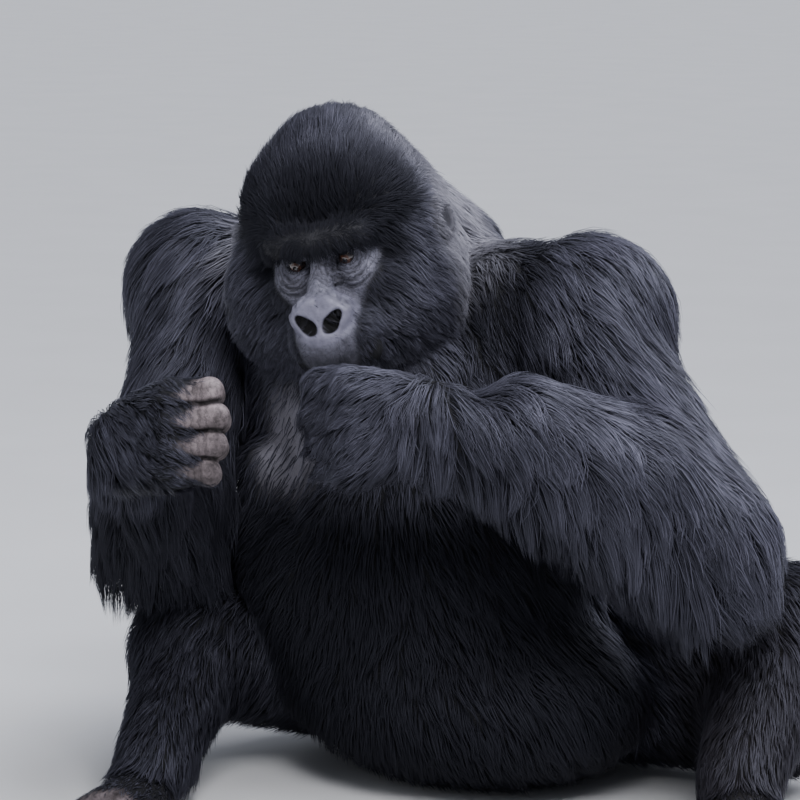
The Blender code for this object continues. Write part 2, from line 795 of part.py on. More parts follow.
def build_arm(side):
    """Upper arm, forearm and hand of one side."""
    shoulder, elbow, wrist = vec(SHOULDER[side]), vec(ELBOW[side]), vec(WRIST[side])

    def whole(points):
        return arm_shape(points, side)

    low = np.minimum(shoulder, elbow) - 0.19
    high = np.maximum(shoulder, elbow) + 0.19
    upper = body_part("upper_arm_" + side, whole, low, high, 0.011, 400, ["elbow_" + side],
                      lerp(shoulder, elbow, 0.3))
    low = np.minimum(elbow, wrist) - vec((0.17, 0.17, 0.29))
    high = np.maximum(elbow, wrist) + 0.15
    body_part("forearm_" + side, whole, low, high, 0.010, 620, ["elbow_" + side, "wrist_" + side],
              lerp(elbow, wrist, 0.5))
    low = wrist - 0.20
    high = wrist + 0.20
    body_part("hand_" + side, whole, low, high, 0.0052, 740, ["wrist_" + side],
              wrist + unit(HAND_ALONG[side]) * 0.05)
    return upper


def build_leg(side):
    """Thigh, shank and foot of one side."""
    hip, knee, ankle = vec(HIP[side]), vec(KNEE[side]), vec(ANKLE[side])

    def whole(points):
        return leg_shape(points, side)

    low = np.minimum(hip, knee) - 0.19
    high = np.maximum(hip, knee) + 0.19
    thigh = body_part("thigh_" + side, whole, low, high, 0.013, 260, ["knee_" + side], lerp(hip, knee, 0.5))
    low = np.minimum(knee, ankle) - 0.14
    high = np.maximum(knee, ankle) + 0.14
    body_part("shank_" + side, whole, low, high, 0.011, 320, ["knee_" + side, "ankle_" + side],
              lerp(knee, ankle, 0.5))
    low = ankle * vec((1.0, 1.0, 0.0)) - vec((0.24, 0.30, 0.03))
    high = ankle + vec((0.24, 0.14, 0.11))
    body_part("foot_" + side, whole, low, high, 0.0065, 450, ["ankle_" + side], ankle - vec((0.0, 0.0, 0.03)))
    return thigh


def main():
    """Builds every part."""
    for obj in list(bpy.data.objects):
        bpy.data.objects.remove(obj)
    arms = [build_arm(side) for side in SIDES]
    thighs = [build_leg(side) for side in SIDES]
    head = build_head(arms)
    for side in SIDES:
        build_eye(side)
        build_ear(side, head)
    keep_piece(head, HEAD_CENTRE)
    dress(head, FACE_SKIN, 0.6)
    neck = build_neck(arms)
    build_trunk(arms + thighs + [head, neck])


main()
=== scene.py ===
"""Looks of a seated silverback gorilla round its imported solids: one skin, two eyes, a coat of tufts.

Metres, +Z up. The chest faces -Y and the animal's left is +X. Flesh is made from fields of
distance that lie inside the solids by the coat's depth, and every tuft grows from that skin.
"""

import math
import typing

import bmesh
import bpy
import numpy as np
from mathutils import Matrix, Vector
from mathutils.kdtree import KDTree


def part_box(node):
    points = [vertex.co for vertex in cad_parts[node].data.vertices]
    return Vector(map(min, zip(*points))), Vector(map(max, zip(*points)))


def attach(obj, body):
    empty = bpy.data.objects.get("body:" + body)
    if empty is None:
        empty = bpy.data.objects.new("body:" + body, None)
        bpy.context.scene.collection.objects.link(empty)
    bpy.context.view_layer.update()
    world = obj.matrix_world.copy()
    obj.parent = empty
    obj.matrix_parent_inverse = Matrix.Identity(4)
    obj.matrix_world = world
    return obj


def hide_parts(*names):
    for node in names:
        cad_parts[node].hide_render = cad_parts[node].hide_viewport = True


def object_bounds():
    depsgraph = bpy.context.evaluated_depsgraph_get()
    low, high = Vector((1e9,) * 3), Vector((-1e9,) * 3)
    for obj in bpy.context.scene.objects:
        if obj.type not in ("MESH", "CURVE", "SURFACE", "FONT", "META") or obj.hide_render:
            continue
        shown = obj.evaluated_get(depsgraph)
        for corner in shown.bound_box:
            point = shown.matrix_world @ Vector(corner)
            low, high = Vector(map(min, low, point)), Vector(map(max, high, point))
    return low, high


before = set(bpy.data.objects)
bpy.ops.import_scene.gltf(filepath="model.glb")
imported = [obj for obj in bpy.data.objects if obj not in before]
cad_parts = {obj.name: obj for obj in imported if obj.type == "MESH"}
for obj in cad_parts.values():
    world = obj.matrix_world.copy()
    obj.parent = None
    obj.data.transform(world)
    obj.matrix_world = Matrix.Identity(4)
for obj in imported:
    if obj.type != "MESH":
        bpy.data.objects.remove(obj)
cad_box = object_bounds()

RANDOM = np.random.default_rng(20)
SIDES = {"left": 1.0, "right": -1.0}

# ---------------------------------------------------------------- camera

CAMERA_AIM = (-0.101, -0.085, 0.578)
CAMERA_AZIMUTH = math.radians(24.0)
CAMERA_ELEVATION = math.radians(9.0)
CAMERA_DISTANCE = 5.5
SENSOR = 36.0
LENS = 155.025


def add_object(name, data):
    """A new object in the scene."""
    made = bpy.data.objects.new(name, data)
    bpy.context.scene.collection.objects.link(made)
    return made


def face_towards(obj, direction):
    """Turns a camera or a light so that its back is towards a direction."""
    obj.rotation_euler = Vector(direction).to_track_quat("Z", "Y").to_euler()


def make_camera():
    """A long lens in front of the animal's left shoulder, a little above it."""
    toward = Vector((
        math.sin(CAMERA_AZIMUTH) * math.cos(CAMERA_ELEVATION),
        -math.cos(CAMERA_AZIMUTH) * math.cos(CAMERA_ELEVATION),
        math.sin(CAMERA_ELEVATION),
    ))
    data = bpy.data.cameras.new("camera")
    data.sensor_width = SENSOR
    data.lens = LENS
    camera = add_object("camera", data)
    camera.location = Vector(CAMERA_AIM) + toward * CAMERA_DISTANCE
    face_towards(camera, toward)
    bpy.context.scene.camera = camera


make_camera()


# ---------------------------------------------------------------- skeleton, as in the solids

HIP = {"left": (0.15, 0.0, 0.18), "right": (-0.15, 0.0, 0.17)}
KNEE = {"left": (0.535, -0.05, 0.235), "right": (-0.355, -0.30, 0.20)}
ANKLE = {"left": (0.535, -0.26, 0.075), "right": (-0.31, -0.54, 0.07)}
SHOULDER = {"left": (0.205, -0.14, 0.73), "right": (-0.400, -0.145, 0.745)}
ELBOW = {"left": (0.478, -0.29, 0.440), "right": (-0.39, -0.365, 0.425)}
WRIST = {"left": (0.135, -0.500, 0.624), "right": (-0.302, -0.645, 0.580)}
HEAD_CENTRE = (-0.109, -0.282, 0.858)
HEAD_TURN = math.radians(8.5)
HEAD_NOD = math.radians(11.0)
HEAD_TILT = math.radians(11.5)
EYE_SPACING = 0.080
EYE_RADIUS = 0.0145
EYE_FORWARD = 0.112
EAR_PLACE = {"left": (-0.002, 0.161, 0.008), "right": (-0.018, 0.172, 0.014)}
DELTOID_RADIUS = {"left": 0.142, "right": 0.136}
DELTOID_OFFSET = (0.038, 0.017, 0.008)
FLANK_OUTWARD = {"left": 0.17, "right": 0.20}
UPPER_ARM_RADII = {"left": (0.128, 0.112), "right": (0.126, 0.105)}
FOREARM_RADII = {"left": (0.106, 0.082), "right": (0.099, 0.054)}
FOREARM_MUSCLE = {
    "left": ((0.25, 0.030, 0.118), (0.66, 0.042, 0.100)),
    "right": ((0.20, 0.000, 0.094), (0.60, 0.000, 0.074)),
}
WRIST_COAT = {"left": 0.032, "right": 0.014}
THIGH_RADII = {"left": (0.155, 0.130), "right": (0.150, 0.106)}
THIGH_SAG = {"left": (0.085, 0.120), "right": (0.060, 0.010)}
SHANK_RADII = {"left": (0.112, 0.064), "right": (0.098, 0.060)}
FOOT_TURN = {"left": math.radians(22.0), "right": math.radians(2.0)}
PALM_LENGTH = 0.122
KNUCKLE_PITCH = 0.039
FINGER_BONES = (0.058, 0.042, 0.026)
FINGER_RADIUS = 0.0205
FINGER_LENGTHS = (1.0, 1.06, 1.0, 0.88)
FINGER_WIDTHS = (1.0, 1.04, 1.0, 0.90)
TOE_LENGTHS = (0.058, 0.070, 0.074, 0.070)
HAND_ALONG = {"left": (-0.85, -0.50, -0.05), "right": (0.90, -0.32, 0.24)}
HAND_ACROSS = {"left": (0.02, -0.10, -0.99), "right": (0.10, -0.22, -0.97)}
KNUCKLE_CURL = {"left": math.radians(48.0), "right": math.radians(35.0)}
MIDDLE_CURL = {"left": math.radians(85.0), "right": math.radians(100.0)}
TIP_CURL = {"left": math.radians(50.0), "right": math.radians(70.0)}

# Depth of the coat over the flesh of each part.
DEPTH = {
    "head": 0.017, "neck": 0.020, "trunk": 0.022, "upper_arm": 0.030, "forearm": 0.026,
    "hand": 0.003, "thigh": 0.020, "shank": 0.016, "foot": 0.002,
}


def vec(values):
    """A numpy vector of floats."""
    return np.array(values, dtype=float)


def unit(values):
    """Unit vectors along the last axis."""
    values = np.asarray(values, dtype=float)
    return values / np.maximum(np.linalg.norm(values, axis=-1, keepdims=True), 1e-9)


def lerp(start, end, share):
    """The point at the given share of the way."""
    return vec(start) + (vec(end) - vec(start)) * share


FAR = 9.0  # a distance longer than any on the model


def ramp(values, start, end):
    """0 before start, 1 after end, smooth between."""
    share = np.clip((values - start) / (end - start), 0.0, 1.0)
    return share * share * (3.0 - 2.0 * share)


def fade(values, start, end):
    """1 before start, 0 after end, smooth between."""
    return 1.0 - ramp(values, start, end)


def length_of(values):
    """Lengths of the vectors along the last axis."""
    return np.linalg.norm(values, axis=-1)


def largest(*fields):
    """The largest of several fields at each point."""
    return np.maximum.reduce(fields)


def coordinates(points):
    """The three coordinates of each point, as three arrays."""
    return np.moveaxis(points, -1, 0)


def split_name(part):
    """The kind and the side of a part such as hand_left."""
    return part.rsplit("_", 1) if part.endswith(("_left", "_right")) else (part, None)


def read(items, name, width=1, kind=float):
    """One property of all of a mesh's items, as an array."""
    values = np.empty(len(items) * width, dtype=kind)
    items.foreach_get(name, values)
    return values.reshape(-1, width) if width > 1 else values


# ---------------------------------------------------------------- fields of distance


def ball(points, centre, radius):
    """Distance to a sphere."""
    return length_of(points - vec(centre)) - radius


def bone(points, start, end, start_radius, end_radius):
    """Distance to a tapering rod with round ends."""
    start = vec(start)
    along = vec(end) - start
    place = np.clip((points - start) @ along / (along @ along), 0.0, 1.0)
    away = points - start - place[..., None] * along
    return length_of(away) - (start_radius + (end_radius - start_radius) * place)


def egg(points, centre, radii, axes=None):
    """Distance, near enough, to an ellipsoid; the rows of axes are its own directions."""
    local = points - vec(centre)
    if axes is not None:
        local = local @ np.asarray(axes).T
    radii = vec(radii)
    first = length_of(local / radii)
    second = length_of(local / radii**2)
    return first * (first - 1.0) / np.maximum(second, 1e-9)


def blend(one, other, width):
    """Smooth union of two fields."""
    share = np.clip(0.5 + 0.5 * (other - one) / width, 0.0, 1.0)
    return other * (1.0 - share) + one * share - width * share * (1.0 - share)


def blend_all(fields, width):
    """Smooth union of several fields."""
    total = fields[0]
    for field in fields[1:]:
        total = blend(total, field, width)
    return total


def carve(field, cutter, width):
    """Smooth difference."""
    return -blend(-field, cutter, width)


def nearby(points, centre, reach, shape):
    """The field of a small shape, worked out only near it."""
    away = length_of(points - vec(centre))
    values = away - reach * 0.5
    close = away < reach
    if close.any():
        values[close] = shape(points[close])
    return values


# ---------------------------------------------------------------- head


def head_axes():
    """Forward, left and up of the head, as rows."""
    turn, nod, tilt = HEAD_TURN, HEAD_NOD, HEAD_TILT
    forward = vec((math.sin(turn) * math.cos(nod), -math.cos(turn) * math.cos(nod), -math.sin(nod)))
    level = vec((math.cos(turn), math.sin(turn), 0.0))
    upright = np.cross(forward, level)
    if upright[2] < 0.0:
        upright = -upright
    left = level * math.cos(tilt) + upright * math.sin(tilt)
    up = upright * math.cos(tilt) - level * math.sin(tilt)
    return np.array([forward, left, up])


HEAD_AXES = head_axes()


def in_head(points):
    """Points in the head's own frame: forward, left, up."""
    return (points - vec(HEAD_CENTRE)) @ HEAD_AXES.T


def from_head(local):
    """A point of the head's frame in the world."""
    return vec(HEAD_CENTRE) + np.asarray(local, dtype=float) @ HEAD_AXES


def mirrored(local):
    """Points folded onto the left half of the head."""
    both = local.copy()
    both[..., 1] = np.abs(both[..., 1])
    return both


def cranium(local, both, depth):
    """Skull, crest, temples and cheeks, under fur of the given depth."""
    skull = egg(local, (-0.035, 0.0, 0.02), (0.150, 0.140, 0.135))
    crest = egg(local, (-0.035, 0.0, 0.100), (0.125, 0.116, 0.106))
    temple = egg(both, (0.010, 0.074, 0.050), (0.100, 0.078, 0.097))
    cheek = egg(both, (-0.005, 0.096, -0.072), (0.106, 0.086, 0.117))
    ruff = egg(local, (0.012, -0.134, -0.078), (0.088, 0.077, 0.108))
    jowl = egg(both, (0.050, 0.060, -0.120), (0.090, 0.075, 0.080))
    return blend_all([skull, crest, temple, cheek, ruff, jowl], 0.04) + depth


def bare_face(local, both):
    """Brow, cheekbones, bridge of the nose, muzzle and chin."""
    brow = bone(both, (0.128, 0.0, 0.032), (0.112, 0.064, 0.031), 0.022, 0.023)
    cheekbone = egg(both, (0.090, 0.050, -0.040), (0.045, 0.042, 0.050))
    bridge = bone(local, (0.116, 0.0, 0.012), (0.158, 0.0, -0.045), 0.015, 0.022)
    muzzle = egg(local, (0.128, 0.0, -0.108), (0.080, 0.068, 0.058))
    chin = egg(local, (0.112, 0.0, -0.158), (0.064, 0.052, 0.042))
    return blend_all([brow, cheekbone, bridge, muzzle, chin], 0.020)


def local_frame(long, out):
    """Rows: the long direction, the outward one made square to it, and the third."""
    out = unit(out - long * (out @ long))
    return np.array([long, out, np.cross(long, out)])


# The left nostril, in the head's frame: a long pit with a round end.
NOSTRIL_AXES = local_frame(unit((-0.30, 0.66, 0.62)), unit((0.94, 0.10, 0.05)))
NOSTRIL_PLACE = (0.2040, 0.0230, -0.0730)
NOSTRIL_RADII = (0.0215, 0.0330, 0.0100)
NOSTRIL_END = (0.1990, 0.0180, -0.0790)
NOSTRIL_END_RADIUS = 0.0120
# The left eye and the gap between its lids, in the same frame.
EYE_PLACE = (EYE_FORWARD, EYE_SPACING / 2.0, 0.0)
SLIT_PLACE = (EYE_FORWARD + 0.014, EYE_SPACING / 2.0, -0.0012)
LID_THICKNESS = 0.0030


def path_distance(points, path):
    """Distance to a path of straight stretches."""
    nearest = np.full(points.shape[:-1], FAR)
    for start, end in zip(path[:-1], path[1:]):
        nearest = np.minimum(nearest, bone(points, start, end, 0.0, 0.0))
    return nearest


def groove(field, points, path, width, depth):
    """Presses a soft furrow along a path of points into the field."""
    return field + depth * np.exp(-((path_distance(points, path) / width) ** 2))


# Furrows of the left half of the face, mirrored onto the right: path as outward and up, width, depth.
FURROWS = (
    (((0.010, 0.016), (0.013, 0.002), (0.016, -0.014), (0.026, -0.034), (0.036, -0.046)),
     0.0036, 0.0040),
    (((0.020, -0.014), (0.034, -0.024), (0.050, -0.022), (0.060, -0.012)), 0.0026, 0.0024),
    (((0.022, -0.024), (0.036, -0.034), (0.054, -0.032), (0.068, -0.020)), 0.0026, 0.0022),
    (((0.026, -0.036), (0.040, -0.044), (0.058, -0.042), (0.074, -0.030)), 0.0028, 0.0018),
    (((0.046, -0.052), (0.055, -0.070), (0.059, -0.092), (0.056, -0.112)), 0.0050, 0.0040),
    (((0.000, 0.012), (0.008, 0.008)), 0.0022, 0.0018),
    (((0.000, -0.002), (0.011, -0.008)), 0.0022, 0.0018),
    (((0.000, -0.014), (0.013, -0.022)), 0.0022, 0.0016),
    (((0.000, -0.026), (0.010, -0.030), (0.022, -0.040)), 0.0024, 0.0020),
    (((0.006, 0.004), (0.005, -0.016), (0.008, -0.032)), 0.0020, 0.0012),
    (((0.000, -0.036), (0.014, -0.034), (0.030, -0.046), (0.044, -0.058)), 0.0030, 0.0022),
    (((0.012, -0.106), (0.016, -0.142)), 0.0026, 0.0012),
    (((0.028, -0.104), (0.034, -0.140)), 0.0026, 0.0012),
)
MOUTH = ((0.0, -0.158), (0.022, -0.160), (0.040, -0.167), (0.050, -0.176))
DIMPLE = ((0.0, -0.100), (0.0, -0.144))


def on_face(path):
    """Points on the front of the face from pairs of outward and up."""
    forward = np.linspace(0.06, 0.26, 401)
    found = []
    for outward, up in path:
        local = np.stack([forward, np.full_like(forward, outward), np.full_like(forward, up)], axis=-1)
        inside = face_shape(local) < 0.0
        found.append((forward[inside].max(), outward, up))
    return found


def nose_form(local, both):
    """The bare head with the nose's pads, before its nostrils."""
    lobe = egg(both, (0.177, 0.017, -0.049), (0.014, 0.018, 0.014))
    whole = blend(bald_head(local, both), lobe, 0.008)
    rim = egg(both, (0.185, 0.0260, -0.070), (0.0285, 0.0125, 0.0200), NOSTRIL_AXES)
    return blend(whole, rim, 0.007)


def face_shape(local):
    """The bare head with nose, nostrils, eyelids and lips but no furrows."""
    both = mirrored(local)
    whole = nose_form(local, both)
    pit = egg(both, NOSTRIL_PLACE, NOSTRIL_RADII, NOSTRIL_AXES)
    pit = blend(pit, ball(both, NOSTRIL_END, NOSTRIL_END_RADIUS), 0.004)
    whole = carve(whole, pit, 0.0050)
    septum = bone(local, (0.189, 0.0, -0.060), (0.188, 0.0, -0.096), 0.0042, 0.0062)
    whole = blend(whole, septum, 0.004)
    upper_lip = bone(both, (0.171, 0.0, -0.126), (0.142, 0.046, -0.140), 0.027, 0.022)
    lower_lip = bone(both, (0.153, 0.0, -0.178), (0.128, 0.036, -0.180), 0.019, 0.016)
    whole = blend(blend(whole, upper_lip, 0.016), lower_lip, 0.012)
    whole = blend(whole, ball(both, EYE_PLACE, EYE_RADIUS + LID_THICKNESS), 0.007)
    half = EYE_SPACING / 2.0
    bag = bone(both, (0.118, half - 0.014, -0.018), (0.110, half + 0.014, -0.014), 0.0058, 0.0050)
    whole = blend(whole, bag, 0.006)
    fold = bone(both, (0.124, half - 0.018, 0.0125), (0.113, half + 0.020, 0.0120), 0.0056, 0.0050)
    whole = blend(whole, fold, 0.006)
    return carve(whole, egg(both, SLIT_PLACE, (0.0095, 0.0145, 0.0078)), 0.0012)


def bald_head(local, both):
    """Skull and face without their finer forms."""
    whole = blend(cranium(local, both, DEPTH["head"]), bare_face(local, both), 0.024)
    socket = egg(both, (0.136, EYE_SPACING / 2.0, -0.002), (0.026, 0.024, 0.016))
    whole = carve(whole, socket, 0.012)
    nose = egg(local, (0.170, 0.0, -0.064), (0.024, 0.038, 0.022))
    wing = egg(both, (0.167, 0.028, -0.068), (0.025, 0.021, 0.024))
    return blend(whole, blend(nose, wing, 0.012), 0.014)


def head_flesh(points, fine=False):
    """The head without its fur; fine adds nose, lids, lips and folds."""
    local = in_head(points)
    both = mirrored(local)
    if not fine:
        return bald_head(local, both)
    whole = groove(face_shape(local), both, MOUTH_PATH, 0.0036, 0.0075)
    whole = groove(whole, both, DIMPLE_PATH, 0.004, 0.0014)
    for path, width, depth in FURROW_PATHS:
        whole = groove(whole, both, path, width, depth)
    return whole


MOUTH_PATH = on_face(MOUTH)
DIMPLE_PATH = on_face(DIMPLE)
FURROW_PATHS = [(on_face(path), width, depth) for path, width, depth in FURROWS]

EAR_OUT = unit((0.35, 0.85, 0.20))


def ear_flesh(points, side):
    """A small round ear set out from the side of the head."""
    local = in_head(points)
    local[..., 1] *= SIDES[side]
    up = unit((-0.10, 0.0, 1.0))
    up = unit(up - EAR_OUT * (up @ EAR_OUT))
    across = np.cross(up, EAR_OUT)
    axes = np.array([across, EAR_OUT, up])
    place = vec(EAR_PLACE[side])
    disc = egg(local, place, (0.023, 0.012, 0.033), axes)
    cup = egg(local, place + EAR_OUT * 0.011 + across * 0.003, (0.014, 0.009, 0.022), axes)
    return carve(disc, cup, 0.004)


def ear_centre(side):
    """The middle of an ear in the world."""
    forward, outward, up = EAR_PLACE[side]
    return from_head((forward, outward * SIDES[side], up))


# ---------------------------------------------------------------- neck and trunk


def neck_flesh(points):
    """The thick nape and the throat."""
    depth = DEPTH["neck"]
    nape = bone(points, (-0.078, -0.06, 0.765), (-0.100, -0.20, 0.872), 0.160 - depth, 0.135 - depth)
    throat = bone(points, (-0.090, -0.20, 0.640), (-0.085, -0.25, 0.760), 0.120 - depth, 0.110 - depth)
    return blend(nape, throat, 0.06)


def trunk_flesh(points):
    """Chest, shoulders, back, belly and haunches."""
    chest = egg(points, (-0.095, -0.135, 0.600), (0.255, 0.205, 0.235))
    hump = egg(points, (-0.095, 0.000, 0.665), (0.260, 0.160, 0.170))
    back = bone(points, (0.0, 0.060, 0.200), (-0.085, 0.040, 0.600), 0.190, 0.165)
    belly = egg(points, (-0.045, -0.160, 0.325), (0.315, 0.232, 0.250))
    haunch = egg(points, (0.0, 0.010, 0.165), (0.255, 0.225, 0.195))
    lap = egg(points, (0.065, -0.190, 0.150), (0.305, 0.225, 0.160))
    body = blend_all([chest, hump, back, belly, haunch, lap], 0.08)
    middle = vec((-0.095, -0.06, 0.725))
    for side in SIDES:
        yoke = bone(points, middle, lerp(middle, SHOULDER[side], 0.80), 0.105, 0.122)
        ribs = (-0.095 + SIDES[side] * FLANK_OUTWARD[side], -0.05, 0.42)
        flank = bone(points, ribs, lerp(middle, SHOULDER[side], 0.70), 0.095, 0.110)
        body = blend(blend(body, yoke, 0.06), flank, 0.06)
    pad = bone(points, (-0.258, -0.262, 0.34), (-0.252, -0.255, 0.49), 0.042, 0.042)
    return blend(body + DEPTH["trunk"], pad, 0.02)


# ---------------------------------------------------------------- arms and legs


def upper_arm_flesh(points, side):
    """Deltoid and upper arm."""
    outward, back, up = DELTOID_OFFSET
    centre = vec(SHOULDER[side]) + vec((SIDES[side] * outward, back, up))
    deltoid = ball(points, centre, DELTOID_RADIUS[side])
    arm = bone(points, SHOULDER[side], ELBOW[side], *UPPER_ARM_RADII[side])
    flesh = blend(deltoid, arm, 0.05) + DEPTH["upper_arm"]
    inner = lerp(ELBOW[side], SHOULDER[side], 0.12) + vec((-SIDES[side] * 0.034, 0.018, 0.0))
    return blend(flesh, ball(points, inner, 0.056), 0.02)


def forearm_flesh(points, side):
    """Forearm; its coat thins out at the wrist."""
    start, end = FOREARM_RADII[side]
    arm = bone(points, ELBOW[side], WRIST[side], start - DEPTH["forearm"], end - WRIST_COAT[side])
    ends = []
    for share, rise, _ in FOREARM_MUSCLE[side]:
        ends.append(lerp(ELBOW[side], WRIST[side], share) + vec((0.0, 0.0, rise)))
    muscle = bone(points, *ends, *[radius for _, _, radius in FOREARM_MUSCLE[side]])
    return blend(arm, muscle + DEPTH["forearm"], 0.03)


def hand_axes(side):
    """Along, across and palmward directions of a hand."""
    along = unit(HAND_ALONG[side])
    across = vec(HAND_ACROSS[side])
    across = unit(across - along * (across @ along))
    palmward = np.cross(along, across) * -SIDES[side]
    if palmward[1] < 0.0:
        palmward = -palmward
    return along, across, palmward


def beyond_wrist(side, distance):
    """A point some way along the hand from the wrist."""
    return vec(WRIST[side]) + unit(HAND_ALONG[side]) * distance


def finger_joints(side, number):
    """Knuckle, two joints and tip of one finger; 0 is the index finger."""
    along, across, palmward = hand_axes(side)
    arch = -0.004 * abs(number - 1.3)
    point = vec(WRIST[side]) + along * (PALM_LENGTH + arch) + across * (number - 1.5) * KNUCKLE_PITCH
    joints = [point]
    turn = 0.0
    scale = FINGER_LENGTHS[number]
    for length, curl in zip(FINGER_BONES, (KNUCKLE_CURL[side], MIDDLE_CURL[side], TIP_CURL[side])):
        turn += curl
        point = point + (along * math.cos(turn) + palmward * math.sin(turn)) * length * scale
        joints.append(point)
    return joints


def finger_flesh(points, side, number):
    """One curled finger, thicker at its joints."""
    joints = finger_joints(side, number)
    thickness = FINGER_RADIUS * FINGER_WIDTHS[number] - DEPTH["hand"] * 0.4
    links = []
    for order, (start, end) in enumerate(zip(joints[:-1], joints[1:])):
        radii = (thickness * (1.0 - 0.05 * order), thickness * (0.97 - 0.06 * order))
        links.append(bone(points, start, end, *radii))
    whole = blend_all(links, 0.007)
    for joint in joints[1:3]:
        whole = blend(whole, ball(points, joint, thickness * 0.98), 0.006)
    return whole


def hand_flesh(points, side):
    """Back of the hand, four curled fingers and the thumb."""
    along, across, palmward = hand_axes(side)
    wrist = vec(WRIST[side])
    rays = []
    for number in range(4):
        knuckle = finger_joints(side, number)[0]
        root = wrist + across * (number - 1.5) * 0.016
        rays.append(bone(points, root, knuckle, 0.034 - DEPTH["hand"], 0.0225))
    palm = blend_all(rays, 0.016)
    fingers = finger_flesh(points, side, 0)
    for number in range(1, 4):
        fingers = blend(fingers, finger_flesh(points, side, number), 0.0018)
    base = wrist + along * 0.030 - across * 0.038 + palmward * 0.022
    middle = base + along * 0.042 - across * 0.016 + palmward * 0.016
    tip = middle + along * 0.034 + across * 0.004 + palmward * 0.010
    root_bone = bone(points, base, middle, 0.020, 0.0160)
    thumb = blend(root_bone, bone(points, middle, tip, 0.0160, 0.0125), 0.008)
    return blend(palm, blend(fingers, thumb, 0.005), 0.012)


def thigh_flesh(points, side):
    """Thigh, heavy at the hip."""
    start = lerp(HIP[side], KNEE[side], 0.22)
    thigh = bone(points, start, KNEE[side], *THIGH_RADII[side])
    sag_start, sag_end = THIGH_SAG[side]
    under_start = start - vec((0.0, 0.0, sag_start))
    slack = bone(points, under_start, vec(KNEE[side]) - vec((0.0, 0.0, sag_end)), 0.105, 0.100)
    return blend(thigh, slack, 0.05) + DEPTH["thigh"]


def shank_flesh(points, side):
    """Knee, calf and ankle."""
    start, end = SHANK_RADII[side]
    return bone(points, KNEE[side], ANKLE[side], start - DEPTH["shank"], end - 0.008)


def foot_forward(side):
    """Direction from heel to toes."""
    turn = FOOT_TURN[side]
    return vec((math.sin(turn), -math.cos(turn), 0.0))


def under_ankle(side):
    """The point of the floor under an ankle."""
    return vec(ANKLE[side]) * vec((1.0, 1.0, 0.0))


def foot_flesh(points, side):
    """Long flat foot with four toes and a big toe set apart."""
    turn = FOOT_TURN[side]
    forward = foot_forward(side)
    outward = vec((math.cos(turn), math.sin(turn), 0.0)) * SIDES[side]
    up = vec((0.0, 0.0, 1.0))
    ground = under_ankle(side)
    depth = DEPTH["foot"]
    heel = ball(points, ground - forward * 0.040 + up * 0.036, 0.041 - depth)
    ball_of_foot = ground + forward * 0.120 + up * 0.030
    sole = bone(points, ground + up * 0.042, ball_of_foot, 0.046 - depth, 0.034 - depth)
    edge_start = ground + outward * 0.018 + up * 0.03
    side_edge = bone(points, edge_start, ball_of_foot + outward * 0.028, 0.034 - depth, 0.028 - depth)
    parts = [heel, sole, side_edge]
    for number in range(4):
        root = ball_of_foot + outward * (0.050 - 0.027 * number) - up * 0.004
        tip = root + forward * TOE_LENGTHS[number] + outward * (0.006 - 0.003 * number) - up * 0.008
        parts.append(bone(points, root, tip, 0.0185, 0.0160))
    big_root = ground + forward * 0.070 - outward * 0.030 + up * 0.030
    big_tip = big_root + forward * 0.085 - outward * 0.055 - up * 0.010
    parts.append(bone(points, big_root, big_tip, 0.027, 0.0205))
    return blend_all(parts, 0.010)


# ---------------------------------------------------------------- the whole body

HAND_REACH = 0.24
FOOT_REACH = 0.30
EAR_REACH = 0.09
HEAD_REACH = 0.34
SOLE_CLEARANCE = 0.0015
PART_BLUR = 0.016  # how softly one part's coat gives way to the next one's


def part_fields(points, fine=False):
    """Every part's field by name."""
    fields = {
        "head": nearby(points, HEAD_CENTRE, HEAD_REACH, lambda p: head_flesh(p, fine)),
        "neck": neck_flesh(points),
        "trunk": trunk_flesh(points),
    }
    for side in SIDES:
        middle = lerp(WRIST[side], beyond_wrist(side, 0.12), 0.6)
        ground = vec(ANKLE[side]) * vec((1.0, 1.0, 0.5))
        fields["upper_arm_" + side] = upper_arm_flesh(points, side)
        fields["forearm_" + side] = forearm_flesh(points, side)
        fields["hand_" + side] = nearby(points, middle, HAND_REACH, lambda p: hand_flesh(p, side))
        fields["thigh_" + side] = thigh_flesh(points, side)
        fields["shank_" + side] = shank_flesh(points, side)
        fields["foot_" + side] = nearby(points, ground, FOOT_REACH, lambda p: foot_flesh(p, side))
    return fields


def body_field(points, fine=False):
    """The whole flesh, blended as the solids are, cut level with the floor."""
    part = part_fields(points, fine)
    total = blend(part["trunk"], blend(part["neck"], part["head"], 0.035), 0.02)
    for side in SIDES:
        arm = blend(part["upper_arm_" + side], part["forearm_" + side], 0.04)
        arm = blend(arm, part["hand_" + side], 0.020)
        leg = blend(part["thigh_" + side], part["shank_" + side], 0.05)
        leg = blend(leg, part["foot_" + side], 0.03)
        total = blend(blend(total, arm, 0.012), leg, 0.012)
        ear = nearby(points, ear_centre(side), EAR_REACH, lambda p: ear_flesh(p, side))
        total = blend(total, ear, 0.006)
    return np.maximum(total, SOLE_CLEARANCE - points[..., 2])


